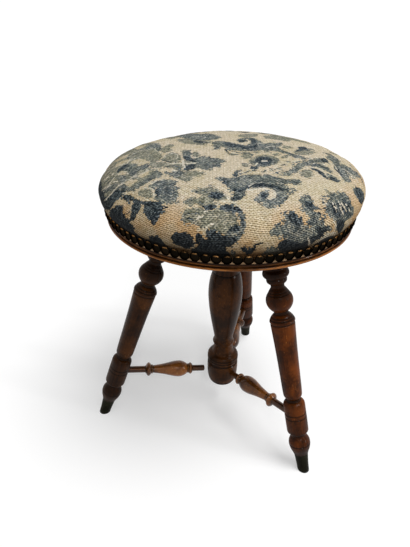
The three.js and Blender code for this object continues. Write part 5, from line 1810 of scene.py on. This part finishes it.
def nail_finish():
    material, tree, shader = finish_named("nail brass")
    own = attribute(tree, "patina")
    place = put(tree, "ShaderNodeTexCoord").outputs["Object"]
    spots = noise_at(tree, place, 600.0, 3.0)
    # The brass on the upper edge of each dome is a painted highlight.
    wear_and_highlight = times(tree, between(tree, attribute(tree, "upper"), 0.66, 0.9),
                   scaled(tree, own, 0.7, between(tree, spots, 0.42, 0.62)))
    wear_and_highlight = times(tree, wear_and_highlight, between(tree, attribute(tree, "out"), 0.98, 0.9))
    feed(tree, shader, {
        "Base Color": layered(tree, blend(tree, own, NAIL_BLACK, NAIL_BROWN),
                              (maths(tree, "MINIMUM", wear_and_highlight, MOST_BRASS_HIGHLIGHT), BRASS_HIGHLIGHT)),
        "Metallic": 1.0, "Specular Tint": colour(BRASS_AT_EDGE), "Roughness": scaled(tree, spots, 0.24, 0.2),
        "Normal": bumped(tree, spots, 0.2, PIT_DEPTH)})
    return material


nail_brass = nail_finish()
print(nail_brass.name)

# %% The row of nails
NAIL_RING, NAIL_HEIGHT, NAIL_RADIUS, NAIL_DOME, NAIL_SIDES = 179.9, 412.4, 6.25, 3.1, 12
NAIL_EDGE = [(0.96, -0.4), (1, 0.25), (0.97, 0.6)]
NAIL_TOP = [(0.8, 0.55), (0.5, 0.86), (0.2, 0.985)]


def dome(name):
    """A shallow dome with a small rolled edge, standing on z = 0."""
    line = [(NAIL_RADIUS * wide, z) for wide, z in NAIL_EDGE]
    line += [(NAIL_RADIUS * wide, NAIL_DOME * up) for wide, up in NAIL_TOP]
    points, faces, _ = lathe(np.array(line), NAIL_SIDES)
    points[-1, 2] = NAIL_DOME
    head = at_middle(name, points, faces)
    add_values(head.data, "out", np.hypot(points[:, 0], points[:, 1]) / NAIL_RADIUS)
    add_values(head.data, "upper", -points[:, 0] / NAIL_RADIUS)
    return head


nail_head = dome("nail_head")
nails = grown("cover_nail_row", ring_tree("nail ring", nail_head, nail_brass, (0, math.pi / 2), 7), NAIL_HEIGHT,
              Count=NAIL_COUNT, Ring_radius=NAIL_RING * MM, Tilt=0.09, Twist=0.09)
bpy.data.objects.remove(nail_head)
stands_for(nails, "seat", "nail_brass", "cover_nails")

# %% [markdown]
# ## Room
# The photo has a white ground with a soft shadow under the stool. The floor is a plain pale surface, and what
# the camera sees of it is lifted to white where no shadow falls. The light on the stool itself stays plain: a
# wide soft sky, a small window in front of the stool and a low one at its right.

# %% Floor and world
FLOOR_SIZE, FLOOR_GREY, FLOOR_LIFT, WORLD_LIGHT = 300, 0.55, 0.48, 0.11


def backdrop_seen(tree):
    """1 for a ray from the camera, and for one that a shiny or clear surface sends on."""
    path = tree.nodes.new("ShaderNodeLightPath").outputs
    seen = maths(tree, "MAXIMUM", path["Is Camera Ray"], path["Is Glossy Ray"])
    return maths(tree, "MAXIMUM", seen, path["Is Transmission Ray"])


def make_floor():
    bpy.ops.mesh.primitive_plane_add(size=FLOOR_SIZE, location=(AXIS.x, AXIS.y, 0))
    floor = bpy.context.object
    floor.name = "floor"
    material, tree, shader = finish_named("floor")
    feed(tree, shader, {
        "Base Color": (*[FLOOR_GREY] * 3, 1), "Roughness": 1.0, "Specular IOR Level": 0.0,
        "Emission Color": (1, 1, 1, 1), "Emission Strength": times(tree, backdrop_seen(tree), FLOOR_LIFT)})
    floor.data.materials.append(material)


def make_world():
    world = bpy.data.worlds.new("room")
    world.use_nodes = True
    bpy.context.scene.world = world
    tree = world.node_tree
    strength = put(tree, "ShaderNodeMapRange",
                   {"Value": backdrop_seen(tree), "To Min": WORLD_LIGHT, "To Max": 1.0}).outputs[0]
    feed(tree, tree.nodes["Background"], {"Color": (1, 1, 1, 1), "Strength": strength})


make_floor()
make_world()
print("floor and world:", FLOOR_LIFT, WORLD_LIGHT)

# %% Lamps
LAMPS = [
    # name, direction it comes from, how wide it is in degrees, strength
    ("sky", (0.33, -0.14, 1.0), 32, 2.5),
    ("window", (0.15, -0.8, 0.8), 9, 0.45),
    ("low window", (0.95, -0.3, 0.34), 7, 0.55),
]
for name, towards, spread, strength in LAMPS:
    lamp = in_scene(name, bpy.data.lights.new(name, "SUN"))
    lamp.data.angle, lamp.data.energy = math.radians(spread), strength
    lamp.rotation_euler = Vector(towards).to_track_quat("Z", "Y").to_euler()
    lamp.location = Vector(towards) * 2
bpy.context.scene.view_settings.view_transform = "Standard"
print(len(LAMPS), "lamps")
